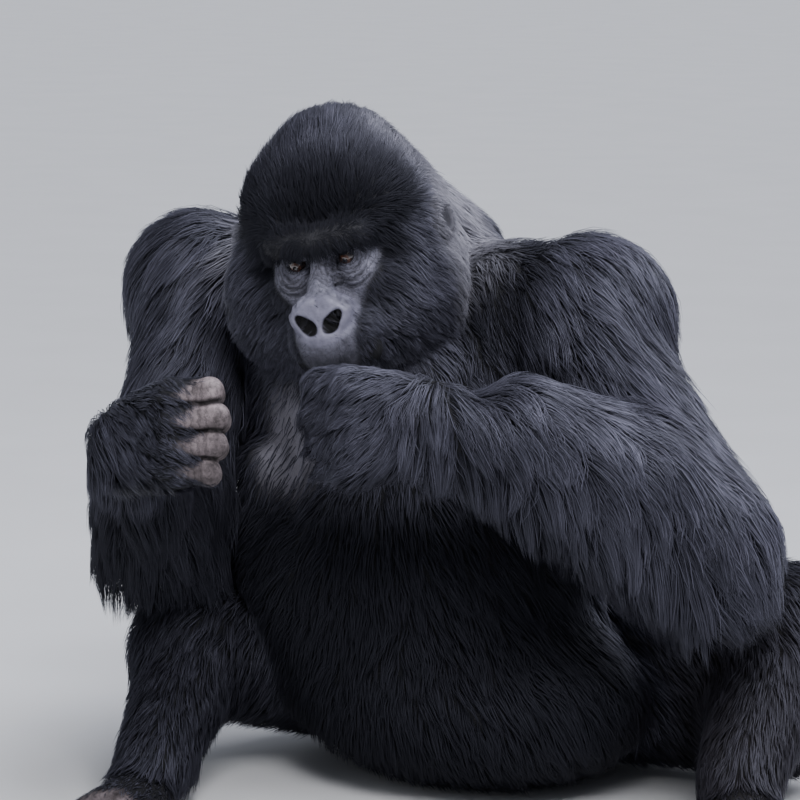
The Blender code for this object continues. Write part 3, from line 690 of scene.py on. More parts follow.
class Grid:
    def __init__(self, low, high, cell):
        self.low = vec(low)
        self.cell = cell
        counts = [int(math.ceil((high[axis] - low[axis]) / cell)) + 1 for axis in range(3)]
        ranges = [low[axis] + cell * np.arange(counts[axis]) for axis in range(3)]
        points = np.stack(np.meshgrid(*ranges, indexing="ij"), axis=-1)
        self.values = body_field(points.reshape(-1, 3)).reshape(counts)
        slopes = np.gradient(self.values, cell)
        self.stack = np.stack([self.values, *slopes], axis=-1)

    def lookup(self, points):
        """Height above the skin and the slope there, by trilinear interpolation."""
        place = (points - self.low) / self.cell
        most = np.array(self.values.shape) - 1.001
        place = np.clip(place, 0.0, most)
        base = place.astype(int)
        share = place - base
        total = np.zeros(points.shape[:-1] + (4,))
        for corner in range(8):
            step = np.array([corner & 1, corner >> 1 & 1, corner >> 2 & 1])
            weight = np.prod(np.where(step, share, 1.0 - share), axis=-1)
            i, j, k = coordinates(base + step)
            total += self.stack[i, j, k] * weight[..., None]
        return total[..., 0], unit(total[..., 1:])


# ---------------------------------------------------------------- meshing

COARSE_CELL = 0.013
SKIN_CELL = 0.0088
MARGIN = 0.045  # of the grid round the solids
SLOPE_STEP = 0.0006
LONGEST_MOVE = 0.006  # of a point in one round of settling
EXACT_REACH = 1.6  # coarse cells on each side of the surface in which the field is worked out again
PINCH_FILL = 0.15  # how far inside a filled corner lies, in cells


def touching(bits):
    """Whether the set corners of a cube, and the unset ones, each hang together."""
    for wanted in (1, 0):
        corners = [corner for corner in range(8) if (bits >> corner & 1) == wanted]
        if not corners:
            continue
        reached = {corners[0]}
        for _ in range(8):
            reached |= {corner ^ step for corner in reached for step in (1, 2, 4)} & set(corners)
        if len(reached) < len(corners):
            return False
    return True


PINCHED = np.array([not touching(bits) for bits in range(256)])


def mend_pinches(values, cell):
    """Fills the cells in which the surface would touch itself."""
    for _ in range(30):
        inside = values < 0.0
        bits = np.zeros([size - 1 for size in values.shape], dtype=np.int16)
        views = []
        for corner in range(8):
            start = (corner & 1, corner >> 1 & 1, corner >> 2 & 1)
            view = tuple(slice(c, c + n) for c, n in zip(start, bits.shape))
            views.append(view)
            bits |= inside[view].astype(np.int16) << corner
        pinched = PINCHED[bits]
        if not pinched.any():
            break
        for view in views:
            part = values[view]
            part[pinched & (part >= 0.0)] = -PINCH_FILL * cell


def fine_values(grid, cell):
    """The field on a finer grid, exact only near the surface."""
    high = grid.low + grid.cell * (np.array(grid.values.shape) - 1)
    counts = [int((high[axis] - grid.low[axis]) / cell) for axis in range(3)]
    ranges = [grid.low[axis] + cell * np.arange(counts[axis]) for axis in range(3)]
    values = np.empty(counts, dtype=np.float32)
    for index, x in enumerate(ranges[0]):
        plane = np.stack(np.meshgrid([x], ranges[1], ranges[2], indexing="ij"), axis=-1)[0]
        rough = grid.lookup(plane)[0]
        near = np.abs(rough) < EXACT_REACH * grid.cell
        exact = rough.copy()
        if near.any():
            exact[near] = body_field(plane[near])
        values[index] = exact
    return values


def surface_net(values, low, cell):
    """Vertices and outward quads of the field's surface."""
    counts = [size - 1 for size in values.shape]
    inside = values < 0.0
    corners = [(i, j, k) for i in (0, 1) for j in (0, 1) for k in (0, 1)]
    mixed = np.zeros(counts, dtype=bool)
    first = inside[tuple(slice(0, n) for n in counts)]
    for corner in corners:
        mixed |= inside[tuple(slice(c, c + n) for c, n in zip(corner, counts))] != first
    cells = np.stack(np.nonzero(mixed), axis=-1)
    total = np.zeros((len(cells), 3))
    crossings = np.zeros(len(cells))
    for corner in corners:
        for axis in range(3):
            if corner[axis]:
                continue
            other = list(corner)
            other[axis] = 1
            one, two = [values[tuple((cells + np.array(end)).T)] for end in (corner, other)]
            crossed = (one < 0.0) != (two < 0.0)
            part = np.where(crossed, one / np.where(crossed, one - two, 1.0), 0.0)
            place = np.tile(vec(corner), (len(cells), 1))
            place[:, axis] += part
            total += place * crossed[:, None]
            crossings += crossed
    points = vec(low) + cell * (cells + total / crossings[:, None])
    numbers = np.full(counts, -1, dtype=np.int32)
    numbers[mixed] = np.arange(len(cells))
    quads = []
    for axis in range(3):
        one = np.moveaxis(inside, axis, 0)[:-1]
        two = np.moveaxis(inside, axis, 0)[1:]
        turned = np.moveaxis(numbers, axis, 0)
        for leaving in (True, False):
            crossed = (one & ~two) if leaving else (~one & two)
            a, b, c = np.nonzero(crossed[:, 1:-1, 1:-1])
            ring = [turned[a, b, c], turned[a, b + 1, c], turned[a, b + 1, c + 1], turned[a, b, c + 1]]
            if leaving == (axis == 1):
                ring = ring[::-1]
            quads.append(np.stack(ring, axis=-1))
    return points, np.concatenate(quads)


def refine(mesh, wanted):
    """Halves every edge whose middle is wanted."""
    ends = read(mesh.edges, "vertices", 2, np.int32)
    middles = read(mesh.vertices, "co", 3)[ends].mean(1)
    build = bmesh.new()
    build.from_mesh(mesh)
    build.edges.ensure_lookup_table()
    edges = [build.edges[index] for index in np.nonzero(wanted(middles))[0]]
    bmesh.ops.subdivide_edges(build, edges=edges, cuts=1, use_grid_fill=True)
    build.to_mesh(mesh)
    build.free()


def settle(points, field, rounds):
    """Moves points onto the surface of a field."""
    for _ in range(rounds):
        value = field(points)
        slope = np.empty_like(points)
        for axis in range(3):
            shifted = points.copy()
            shifted[:, axis] += SLOPE_STEP
            slope[:, axis] = (field(shifted) - value) / SLOPE_STEP
        size = np.maximum((slope**2).sum(1), 0.25)
        move = -slope * (value / size)[:, None]
        length = np.linalg.norm(move, axis=1, keepdims=True)
        points = points + move * np.minimum(1.0, LONGEST_MOVE / np.maximum(length, 1e-9))
    return points


def near_face(points):
    """Which points are on the bare front of the head."""
    forward, side, up = coordinates(mirrored(in_head(points)))
    return (forward > 0.066) & (side < 0.088) & (up > -0.190) & (up < 0.050)


def near_eye(points):
    """Which points are round an eye, a nostril or the mouth."""
    forward, side, up = coordinates(mirrored(in_head(points)))
    eye = np.hypot(side - EYE_SPACING / 2.0, up) < 0.021
    nostril = (forward > 0.15) & (np.hypot(side - 0.021, up + 0.070) < 0.026)
    mouth = (forward > 0.11) & (up > -0.168) & (up < -0.148) & (side < 0.054)
    return (forward > 0.09) & (eye | nostril | mouth)


def near_extremity(points):
    """Which points are on a hand, the front of a foot or an ear."""
    found = np.zeros(len(points), dtype=bool)
    for side in SIDES:
        found |= length_of(points - beyond_wrist(side, 0.135)) < 0.085
        foot = vec(ANKLE[side]) * vec((1.0, 1.0, 0.3))
        toes = (points[:, 2] < 0.075) & (points[:, 1] < foot[1] - 0.10)
        found |= toes & (length_of(points - foot) < 0.26)
        found |= length_of(points - ear_centre(side)) < 0.038
    return found


def near_fist(points):
    """Which points are on the curled fingers of the right hand."""
    return length_of(points - beyond_wrist("right", 0.150)) < 0.095


def make_skin_mesh(grid):
    """The skin's mesh: one closed surface, finer on face, hands and feet."""
    values = fine_values(grid, SKIN_CELL)
    mend_pinches(values, SKIN_CELL)
    points, quads = surface_net(values, grid.low, SKIN_CELL)
    points = settle(points, body_field, 1)
    mesh = bpy.data.meshes.new("skin")
    mesh.from_pydata(points.tolist(), [], quads.tolist())
    for wanted in (near_extremity, near_fist, near_face, near_face, near_eye):
        refine(mesh, wanted)
    points = read(mesh.vertices, "co", 3)
    front = length_of(points - vec(HEAD_CENTRE)) < HEAD_REACH
    points[front] = settle(points[front], lambda p: body_field(p, True), 6)
    points[~front] = settle(points[~front], body_field, 1)
    points[:, 2] = np.maximum(points[:, 2], 0.0)
    mesh.vertices.foreach_set("co", points.ravel())
    mesh.update()
    return mesh


# ---------------------------------------------------------------- parts, lie of the coat, markings

PART_NAMES = ["head", "neck", "trunk"] + [
    name + "_" + side
    for side in SIDES
    for name in ("upper_arm", "forearm", "hand", "thigh", "shank", "foot")
]
DOWN = vec((0.0, 0.0, -1.0))
HAND_SWEEP = {"left": 0.55, "right": 0.45}  # of the coat across the back of the hand


def part_shares(points):
    """How much each part has to say about each point."""
    fields = part_fields(points)
    stack = np.stack([fields[name] for name in PART_NAMES], axis=-1)
    nearest = stack.min(-1, keepdims=True)
    shares = np.exp((nearest - stack) / PART_BLUR)
    return shares / shares.sum(-1, keepdims=True), stack.argmin(-1)


def head_lie(points):
    """Up and back from the brow, down and back over the cheeks."""
    forward, left, up = coordinates(in_head(points))
    high = ramp(up, 0.015, 0.10)
    side = np.sign(left) * ramp(np.abs(left), 0.02, 0.12)
    flow = np.stack([
        -0.55 - 0.45 * high,
        side * (0.55 - 0.25 * high) + left * 1.5,
        -1.05 + 1.75 * high * fade(-forward, 0.02, 0.10) - 0.2 * ramp(-forward, 0.0, 0.1),
    ], axis=-1)
    chin = ramp(-up, 0.12, 0.17) * ramp(forward, 0.05, 0.12)
    flow = flow * (1.0 - 0.6 * chin[..., None]) + chin[..., None] * vec((-0.4, 0.0, -0.9))
    return flow @ HEAD_AXES


def trunk_lie(points):
    """Down the chest and back, outward to the flanks."""
    middle = -0.095 + 0.06 * ramp(0.6 - points[..., 2], 0.0, 0.4)
    across = np.clip((points[..., 0] - middle) / 0.15, -1.0, 1.0)
    front = ramp(-points[..., 1], 0.05, 0.25)
    return np.stack([across * (0.25 + 0.25 * front), 0.12 * front, -np.ones_like(across)], axis=-1)


def everywhere(direction, points):
    """The same direction at each point."""
    return np.tile(vec(direction), points.shape[:-1] + (1,))


def limb_lie(points, start, end, down, outward, spread_from):
    """Along a limb from start to end, with some fall and some spread."""
    along = unit(vec(end) - vec(start))
    away = unit(points - vec(spread_from))
    return along + DOWN * down + away * outward


def forearm_share(points, side):
    """Place along the forearm, 0 at the wrist and 1 at the elbow."""
    axis = vec(ELBOW[side]) - vec(WRIST[side])
    return np.clip((points - vec(WRIST[side])) @ axis / (axis @ axis), 0.0, 1.0)


def below_axis(points, side, start, end):
    """0 above the middle line of the forearm by start, 1 below it by end."""
    rise = ELBOW[side][2] - WRIST[side][2]
    return ramp(WRIST[side][2] + forearm_share(points, side) * rise - points[..., 2], start, end)


def part_lie(points, name):
    """Direction of the coat of one part at each point."""
    kind, side = split_name(name)
    if kind == "head":
        return head_lie(points)
    if kind == "neck":
        flow = everywhere((0.0, 0.55, -0.75), points)
        flow[..., 0] = (points[..., 0] + 0.09) * 3.0
        return flow
    if kind == "trunk":
        return trunk_lie(points)
    if kind == "upper_arm":
        base = vec((-0.095, -0.16, 0.86))
        flow = limb_lie(points, SHOULDER[side], ELBOW[side], 0.25, 0.75, base)
        return flow + vec((0.0, 0.25, 0.0))
    if kind == "forearm":
        if side == "left":
            fall = 0.35 + 1.25 * below_axis(points, side, -0.09, 0.07)
            return unit(vec(ELBOW[side]) - vec(WRIST[side])) + DOWN * fall[..., None]
        away = points - lerp(WRIST[side], ELBOW[side], 0.5)
        away[..., 2] = 0.0
        return limb_lie(points, WRIST[side], ELBOW[side], 0.45, 0.0, WRIST[side]) + away * 3.0
    if kind == "hand":
        along, across, _ = hand_axes(side)
        flow = along * 0.9 + across * HAND_SWEEP[side]
        return everywhere(flow, points)
    if kind == "thigh":
        return limb_lie(points, HIP[side], KNEE[side], 0.9, 0.0, HIP[side])
    if kind == "shank":
        return limb_lie(points, KNEE[side], ANKLE[side], 0.9, 0.0, KNEE[side])
    return everywhere(foot_forward(side) + DOWN * 0.2, points)


def coat_lie(points, normals, shares):
    """Unit direction of the coat along the skin."""
    flow = np.zeros_like(points)
    for number, name in enumerate(PART_NAMES):
        used = shares[:, number] > 0.01
        if used.any():
            flow[used] += shares[used, number, None] * unit(part_lie(points[used], name))
    flow = flow - normals * (flow * normals).sum(-1, keepdims=True)
    return unit(flow)


CHEST_PATCH = (-0.195, -0.345, 0.540)
CHEST_PATCH_RADII = (0.085, 0.130, 0.125)
FINGER_GAP = 0.0125
UPPER_ARM_LENGTH = 0.40
BARE_BEYOND = {"left": 0.042, "right": 0.016}  # where the fingers' bare skin starts past the palm
BARENESS = {"left": 0.08, "right": 1.0}  # how bare the fingers are
# Middle of the painted shade on the yoke.
YOKE_SHADE = (0.085, -0.190, 0.770)
# Outline of the bare face: height and half width, from the chin up to the brow.
FACE_HEIGHTS = (-0.20, -0.165, -0.135, -0.105, -0.075, -0.050, -0.025, 0.000, 0.012, 0.022)
FACE_WIDTHS = (0.016, 0.030, 0.044, 0.044, 0.050, 0.060, 0.080, 0.086, 0.076, 0.046)


def bare_mask(points):
    """1 on bare skin of the face, 0 in the fur."""
    forward, side, up = coordinates(mirrored(in_head(points)))
    inside = fade(side - np.interp(up, FACE_HEIGHTS, FACE_WIDTHS), -0.006, 0.010)
    height = ramp(up, -0.180, -0.160) * fade(up, 0.010, 0.018)
    return inside * height * ramp(forward, 0.055, 0.075)


def chest_mask(points):
    """1 on the thinly haired skin between the hands, whose grey is painted lighter as if lit."""
    place = (points - vec(CHEST_PATCH)) / vec(CHEST_PATCH_RADII)
    return fade(length_of(place), 0.55, 1.15)


def share_of(shares, *starts):
    """How far each point belongs to the parts whose names start so."""
    return shares[..., [name.startswith(starts) for name in PART_NAMES]].sum(-1)


def extremity_share(shares):
    """How far each point belongs to a hand or a foot."""
    return ramp(share_of(shares, "hand", "foot"), 0.3, 0.6)


def palm_mask(points, shares):
    """1 on the bare fingers, soles and palms."""
    mask = np.zeros(points.shape[:-1])
    for side in SIDES:
        along, across, palmward = hand_axes(side)
        local = points - vec(WRIST[side])
        reach = length_of(local) < HAND_REACH
        wander = 0.008 * np.sin(local @ across * 170.0 + 1.0)
        bare_from = PALM_LENGTH + BARE_BEYOND[side] + wander
        beyond = ramp(local @ along - bare_from, 0.0, 0.016)
        inner = ramp(local @ palmward, 0.030, 0.044) * ramp(local @ along, 0.02, 0.05)
        mask = np.maximum(mask, BARENESS[side] * reach * np.maximum(beyond, inner))
        forward = foot_forward(side)
        foot = points - under_ankle(side)
        low = (length_of(foot[..., :2]) < 0.27) & (foot @ forward > -0.09) & (points[..., 2] < 0.085)
        toes = ramp(foot @ forward, 0.115, 0.135)
        sole = fade(points[..., 2], 0.010, 0.022)
        mask = np.maximum(mask, low * np.maximum(toes, sole))
    return mask * extremity_share(shares)


def finger_shares(points, side):
    """Distance to the nearest finger, how much farther the next is, and the place along it in joints."""
    distances = np.stack([finger_flesh(points, side, number) for number in range(4)], axis=-1)
    order = np.sort(distances, axis=-1)
    nearest = distances.argmin(-1)
    along = np.zeros(len(points))
    for number in range(4):
        chosen = nearest == number
        joints = finger_joints(side, number)
        best = np.full(chosen.sum(), FAR)
        place = np.zeros(chosen.sum())
        for link, (start, end) in enumerate(zip(joints[:-1], joints[1:])):
            axis = end - start
            share = np.clip((points[chosen] - start) @ axis / (axis @ axis), 0.0, 1.0)
            away = length_of(points[chosen] - start - share[:, None] * axis)
            closer = away < best
            best = np.where(closer, away, best)
            place = np.where(closer, link + share, place)
        along[chosen] = place
    return order[..., 0], order[..., 1] - order[..., 0], along


def on_fingers(points, measure):
    """A measure of finger_shares within reach of the fingers, and 0 elsewhere."""
    found = np.zeros(points.shape[:-1])
    for side in SIDES:
        close = length_of(points - beyond_wrist(side, 0.13)) < 0.13
        if close.any():
            found[close] = measure(*finger_shares(points[close], side))
    return found


def finger_gap_mask(points):
    """1 in the clefts between fingers, where shade is painted."""
    gap = (0.25 * FINGER_GAP, FINGER_GAP)
    return on_fingers(points, lambda own, step, _along: fade(step, *gap) * fade(own, 0.004, 0.012))


def knuckle_mark(points):
    """Place along the nearest finger, in joints from the knuckle."""
    return on_fingers(points, lambda _own, _step, along: along)


def ear_mask(points):
    """1 in the hollow of the ears."""
    found = np.zeros(points.shape[:-1])
    for side in SIDES:
        local = in_head(points) * vec((1.0, SIDES[side], 1.0))
        place = (local - vec(EAR_PLACE[side]) - EAR_OUT * 0.012) / vec((0.017, 0.017, 0.025))
        found = np.maximum(found, fade(length_of(place), 0.8, 1.1))
    return found


def painted_shade_mark(points, shares):
    """Painted shade on the fur, at most 1: round the brow, on the forehead and beside the eyes, on
    belly, legs, yoke and the low side of the right arm.
    """
    forward, side, up = coordinates(mirrored(in_head(points)))
    depth, height = -points[..., 1], points[..., 2]
    brow = ramp(forward, 0.04, 0.075) * ramp(up, -0.020, -0.004) * fade(up, 0.055, 0.085)
    brow = brow * fade(side, 0.09, 0.13)
    forehead = ramp(forward, 0.01, 0.06) * ramp(up, 0.030, 0.05) * (1.0 - 0.75 * ramp(up, 0.095, 0.155))
    beside = ramp(forward, 0.03, 0.07) * ramp(up, -0.10, -0.06) * fade(up, 0.0, 0.02)
    beside = beside * fade(side, 0.085, 0.12)
    belly = ramp(depth, 0.12, 0.24) * fade(height, 0.42, 0.56) * share_of(shares, "trunk")
    legs = 0.5 * share_of(shares, "thigh", "shank")
    yoke = 0.7 * fade(length_of(points - vec(YOKE_SHADE)), 0.05, 0.12)
    arm = 0.85 * share_of(shares, "upper_arm_right", "forearm_right") * fade(height, 0.50, 0.62)
    head = brow + np.maximum(0.90 * forehead, 0.5 * beside)
    return np.clip(head + largest(belly, legs, yoke, arm), 0.0, 1.0)


def silver_mark(points):
    """1 on the silver saddle and nape, up to 0.8 on the sides of the head behind the ears and 0.3 on the
    crown, 0 elsewhere.
    """
    x, y, z = coordinates(points)
    saddle = ramp(y, -0.02, 0.12) * ramp(z, 0.16, 0.30) * (1.0 - 0.45 * ramp(z, 0.62, 0.74))
    saddle = saddle * fade(np.abs(x + 0.06), 0.24, 0.33)
    local = in_head(points)
    forward, side, up = coordinates(mirrored(local))
    away = length_of(local)
    nape = ramp(-forward, -0.02, 0.05) * ramp(-up, -0.13, -0.03) * ramp(z, 0.76, 0.84)
    nape = nape * fade(away, 0.21, 0.28)
    edge = ramp(side, 0.128, 0.160) * ramp(-forward, -0.06, -0.01) * ramp(z, 0.70, 0.78)
    edge = 0.8 * edge * fade(away, 0.185, 0.225)
    crown = 0.30 * ramp(side, 0.04, 0.09) * ramp(up, 0.03, 0.09) * ramp(-forward, -0.06, 0.0)
    return np.clip(largest(saddle, nape, edge, crown), 0.0, 1.0)


def brown_mark(points):
    """1 on the brown-tinged forehead, a little on the lower legs."""
    local = in_head(points)
    forehead = 0.10 * ramp(local[..., 0], 0.07, 0.11) * ramp(local[..., 2], 0.030, 0.05)
    forehead = forehead * fade(length_of(local[..., 1:] - vec((0.0, 0.08))), 0.01, 0.065)
    legs = 0.45 * fade(points[..., 2], 0.20, 0.42) * ramp(points[..., 0], 0.30, 0.40)
    return np.clip(np.maximum(forehead, legs), 0.0, 1.0)


# ---------------------------------------------------------------- unwrap of the skin

AXES = np.array([(1, 0, 0), (-1, 0, 0), (0, 1, 0), (0, -1, 0), (0, 0, 1), (0, 0, -1)], dtype=float)
CHART_GAP = 0.008
FIRST_SCALE = 0.5  # of the charts on the unit square, lowered step by step until they fit
SCALE_STEP = 0.985


class Atlas:
    """A flat chart for each part and facing, packed in rows on the unit square."""

    def __init__(self, normals, parts, corners):
        facing = (normals @ AXES.T).argmax(-1)
        self.chart = parts * len(AXES) + facing
        self.low = {}
        sizes = []
        for chart in np.unique(self.chart):
            flat = self.flatten(corners[self.chart == chart].reshape(-1, 3), chart)
            self.low[chart] = flat.min(0)
            sizes.append((chart, *(flat.max(0) - flat.min(0))))
        sizes.sort(key=lambda item: -item[2])
        scale = FIRST_SCALE
        while not self.pack(sizes, scale):
            scale *= SCALE_STEP
        self.scale = scale

    @staticmethod
    def flatten(points, chart):
        """Drops the coordinate that the chart faces along."""
        axis = (int(chart) % len(AXES)) // 2
        return np.delete(points, axis, axis=-1)

    def pack(self, sizes, scale):
        """Places the charts in rows; false if they don't fit."""
        self.place = {}
        x = y = CHART_GAP
        row = 0.0
        for chart, width, height in sizes:
            width, height = width * scale, height * scale
            if x + width + CHART_GAP > 1.0:
                x = CHART_GAP
                y += row + CHART_GAP
                row = 0.0
            self.place[chart] = vec((x, y))
            x += width + CHART_GAP
            row = max(row, height)
        return y + row + CHART_GAP < 1.0

    def map(self, points, charts):
        """Places on the unit square of points, each in its own chart."""
        out = np.zeros(points.shape[:-1] + (2,))
        for chart in np.unique(charts):
            used = charts == chart
            flat = self.flatten(points[used], chart)
            out[used] = self.place[chart] + (flat - self.low[chart]) * self.scale
        return out


def add_uv(mesh, values):
    """The bake map, one place per face corner."""
    layer = mesh.uv_layers.new(name="OFBake")
    layer.uv.foreach_set("vector", np.ascontiguousarray(values, dtype=np.float32).ravel())


def add_attribute(mesh, name, values):
    """One number per vertex."""
    layer = mesh.attributes.new(name, "FLOAT", "POINT")
    layer.data.foreach_set("value", np.ascontiguousarray(values, dtype=np.float32).ravel())


# ---------------------------------------------------------------- materials

COAT_DARK = (0.0020, 0.0021, 0.0028)
COAT_LIGHT = (0.135, 0.134, 0.176)
COAT_SILVER_DARK = (0.110, 0.109, 0.126)
COAT_SILVER = (0.440, 0.430, 0.480)
COAT_BROWN = (0.020, 0.015, 0.012)
COAT_SPECULAR_TINT = (0.78, 0.80, 1.0, 1.0)
COAT_SHEEN_TINT = (0.62, 0.68, 0.90, 1.0)
FACE_DARK = (0.068, 0.067, 0.086)
FACE_LIGHT = (0.185, 0.183, 0.232)
# The chest's own grey skin, made paler as painted light because it lies in the shade of head and hands.
CHEST_SKIN_AND_PAINTED_LIGHT = (0.200, 0.190, 0.215)
NOSE_DARK = (0.112, 0.110, 0.146)
NOSE_LIGHT = (0.240, 0.234, 0.302)
PALM_DARK = (0.046, 0.036, 0.036)
PALM_LIGHT = (0.330, 0.272, 0.278)
PAINTED_HOLLOW_SHADE = (0.0008, 0.0008, 0.0010)
PUPIL = (0.002, 0.002, 0.002)
IRIS_INNER = (0.052, 0.020, 0.010)
IRIS_OUTER = (0.074, 0.030, 0.016)
IRIS_RIM = (0.012, 0.005, 0.003)
EYE_WHITE = (0.020, 0.012, 0.010)
EYE_BACK = (0.012, 0.008, 0.007)
FLOOR_DARK = (0.70, 0.70, 0.69)
FLOOR_LIGHT = (0.73, 0.73, 0.72)
# Painted shade in creases, given as the grey that a crease leaves of the skin's colour.
CREASE_SHADE_GREY = 0.30  # what a crease leaves of the skin's colour
NET_WARP = (0.016, 0.016, 0.016)
EYE_RINGS = 1150.0  # phase of the wrinkles round an eye, for each metre outward
JOINT_FOLDS = 34.0  # phase of the folds across a finger, for each joint


class Shader:
    """A new material with short ways to add nodes; each input is a socket or a value."""

    def __init__(self, name):
        self.material = bpy.data.materials.new(name)
        self.material.use_nodes = True
        self.tree = self.material.node_tree
        self.principled = self.tree.nodes["Principled BSDF"]
        self.place = self.tree.nodes.new("ShaderNodeTexCoord").outputs["Object"]

    def feed(self, made, inputs):
        """Sets or links a node's inputs by name or number."""
        for key, value in inputs.items():
            socket = made.inputs[key.replace("_", " ") if isinstance(key, str) else key]
            if isinstance(value, bpy.types.NodeSocket):
                self.tree.links.new(value, socket)
            else:
                socket.default_value = value

    def finish(self, **inputs):
        """Sets the shader's own inputs and gives the material."""
        self.feed(self.principled, inputs)
        return self.material

    def node(self, kind, properties=None, numbered=None, **named):
        """Adds a node with its properties and its numbered and named inputs, and gives its outputs."""
        made = self.tree.nodes.new("ShaderNode" + kind)
        for key, value in (properties or {}).items():
            setattr(made, key, value)
        self.feed(made, {**(numbered or {}), **named})
        return made.outputs

    def math(self, operation, *values):
        """One arithmetic step."""
        return self.node("Math", {"operation": operation}, dict(enumerate(values)))[0]

    def add(self, one, two):
        """The sum."""
        return self.math("ADD", one, two)

    def less(self, one, two):
        """The difference."""
        return self.math("SUBTRACT", one, two)

    def times(self, one, two):
        """The product."""
        return self.math("MULTIPLY", one, two)

    def wave(self, phase):
        """A sine wave, and the same wave between 0 and 1."""
        sine = self.math("SINE", phase)
        return sine, self.math("MULTIPLY_ADD", sine, 0.5, 0.5)

    def ramp(self, source, *stops):
        """A colour ramp of places and colours; a single number is a grey."""
        made = self.tree.nodes.new("ShaderNodeValToRGB")
        elements = made.color_ramp.elements
        while len(elements) < len(stops):
            elements.new(0.5)
        for element, (place, colour) in zip(elements, stops):
            element.position = place
            rgb = colour if isinstance(colour, tuple) else (colour, colour, colour)
            element.color = (*rgb, 1.0)
        self.feed(made, {"Fac": source})
        return made.outputs["Color"]

    def mix(self, share, one, two, mode="MIX"):
        """Mixes two colours."""
        one, two = [(*value, 1.0) if isinstance(value, tuple) else value for value in (one, two)]
        return self.node("Mix", {"data_type": "RGBA", "blend_type": mode}, {0: share, 6: one, 7: two})[2]

    def darken(self, share, colour, mark):
        """A colour multiplied by a grey mark, as far as share says."""
        return self.mix(share, colour, self.mix(1.0, colour, mark, "MULTIPLY"))

    def attribute(self, name):
        """The value of a vertex attribute."""
        return self.node("Attribute", {"attribute_name": name})["Fac"]


def coat_colour(nodes, tone):
    """Black coat, lighter with tone, with silver and brown where marked."""
    black = nodes.ramp(tone, (0.0, COAT_DARK), (1.0, COAT_LIGHT))
    silver = nodes.ramp(tone, (0.0, COAT_SILVER_DARK), (1.0, COAT_SILVER))
    brown = nodes.mix(0.7, black, COAT_BROWN)
    marked = nodes.mix(nodes.attribute("silver"), black, silver)
    return nodes.mix(nodes.attribute("brown"), marked, brown)


def make_coat_material():
    """Hair: dark, softly glossy, with streaks from tuft to tuft."""
    nodes = Shader("coat_hair")
    patches = nodes.node("TexNoise", Vector=nodes.place, Scale=9.0, Detail=3.0)["Fac"]
    # Painted shade: the dark attribute darkens the tone of the fur where shade falls, and also makes it
    # rougher.
    dark = nodes.attribute("dark")
    tone = nodes.add(nodes.times(nodes.attribute("tone"), 0.8), nodes.times(patches, 0.25))
    tone = nodes.times(tone, nodes.add(nodes.times(nodes.attribute("along"), 0.80), 0.20))
    tone = nodes.times(tone, nodes.less(1.0, nodes.times(dark, 0.93)))
    return nodes.finish(
        Base_Color=coat_colour(nodes, tone),
        Roughness=nodes.add(nodes.times(dark, 0.30), 0.36),
        Specular_IOR_Level=0.28,
        Specular_Tint=COAT_SPECULAR_TINT,
        Sheen_Weight=0.02,
        Sheen_Roughness=0.45,
        Sheen_Tint=COAT_SHEEN_TINT,
    )


def skin_net(nodes, warp):
    """Fine lines between the cells of the skin, bent by a warp."""
    inputs = {0: warp, 1: NET_WARP, 2: nodes.place}
    bent = nodes.node("VectorMath", {"operation": "MULTIPLY_ADD"}, inputs)["Vector"]
    net = nodes.node("TexVoronoi", {"feature": "DISTANCE_TO_EDGE"}, Vector=bent, Scale=95.0)
    return nodes.ramp(net["Distance"], (0.0, 0.0), (0.16, 1.0))


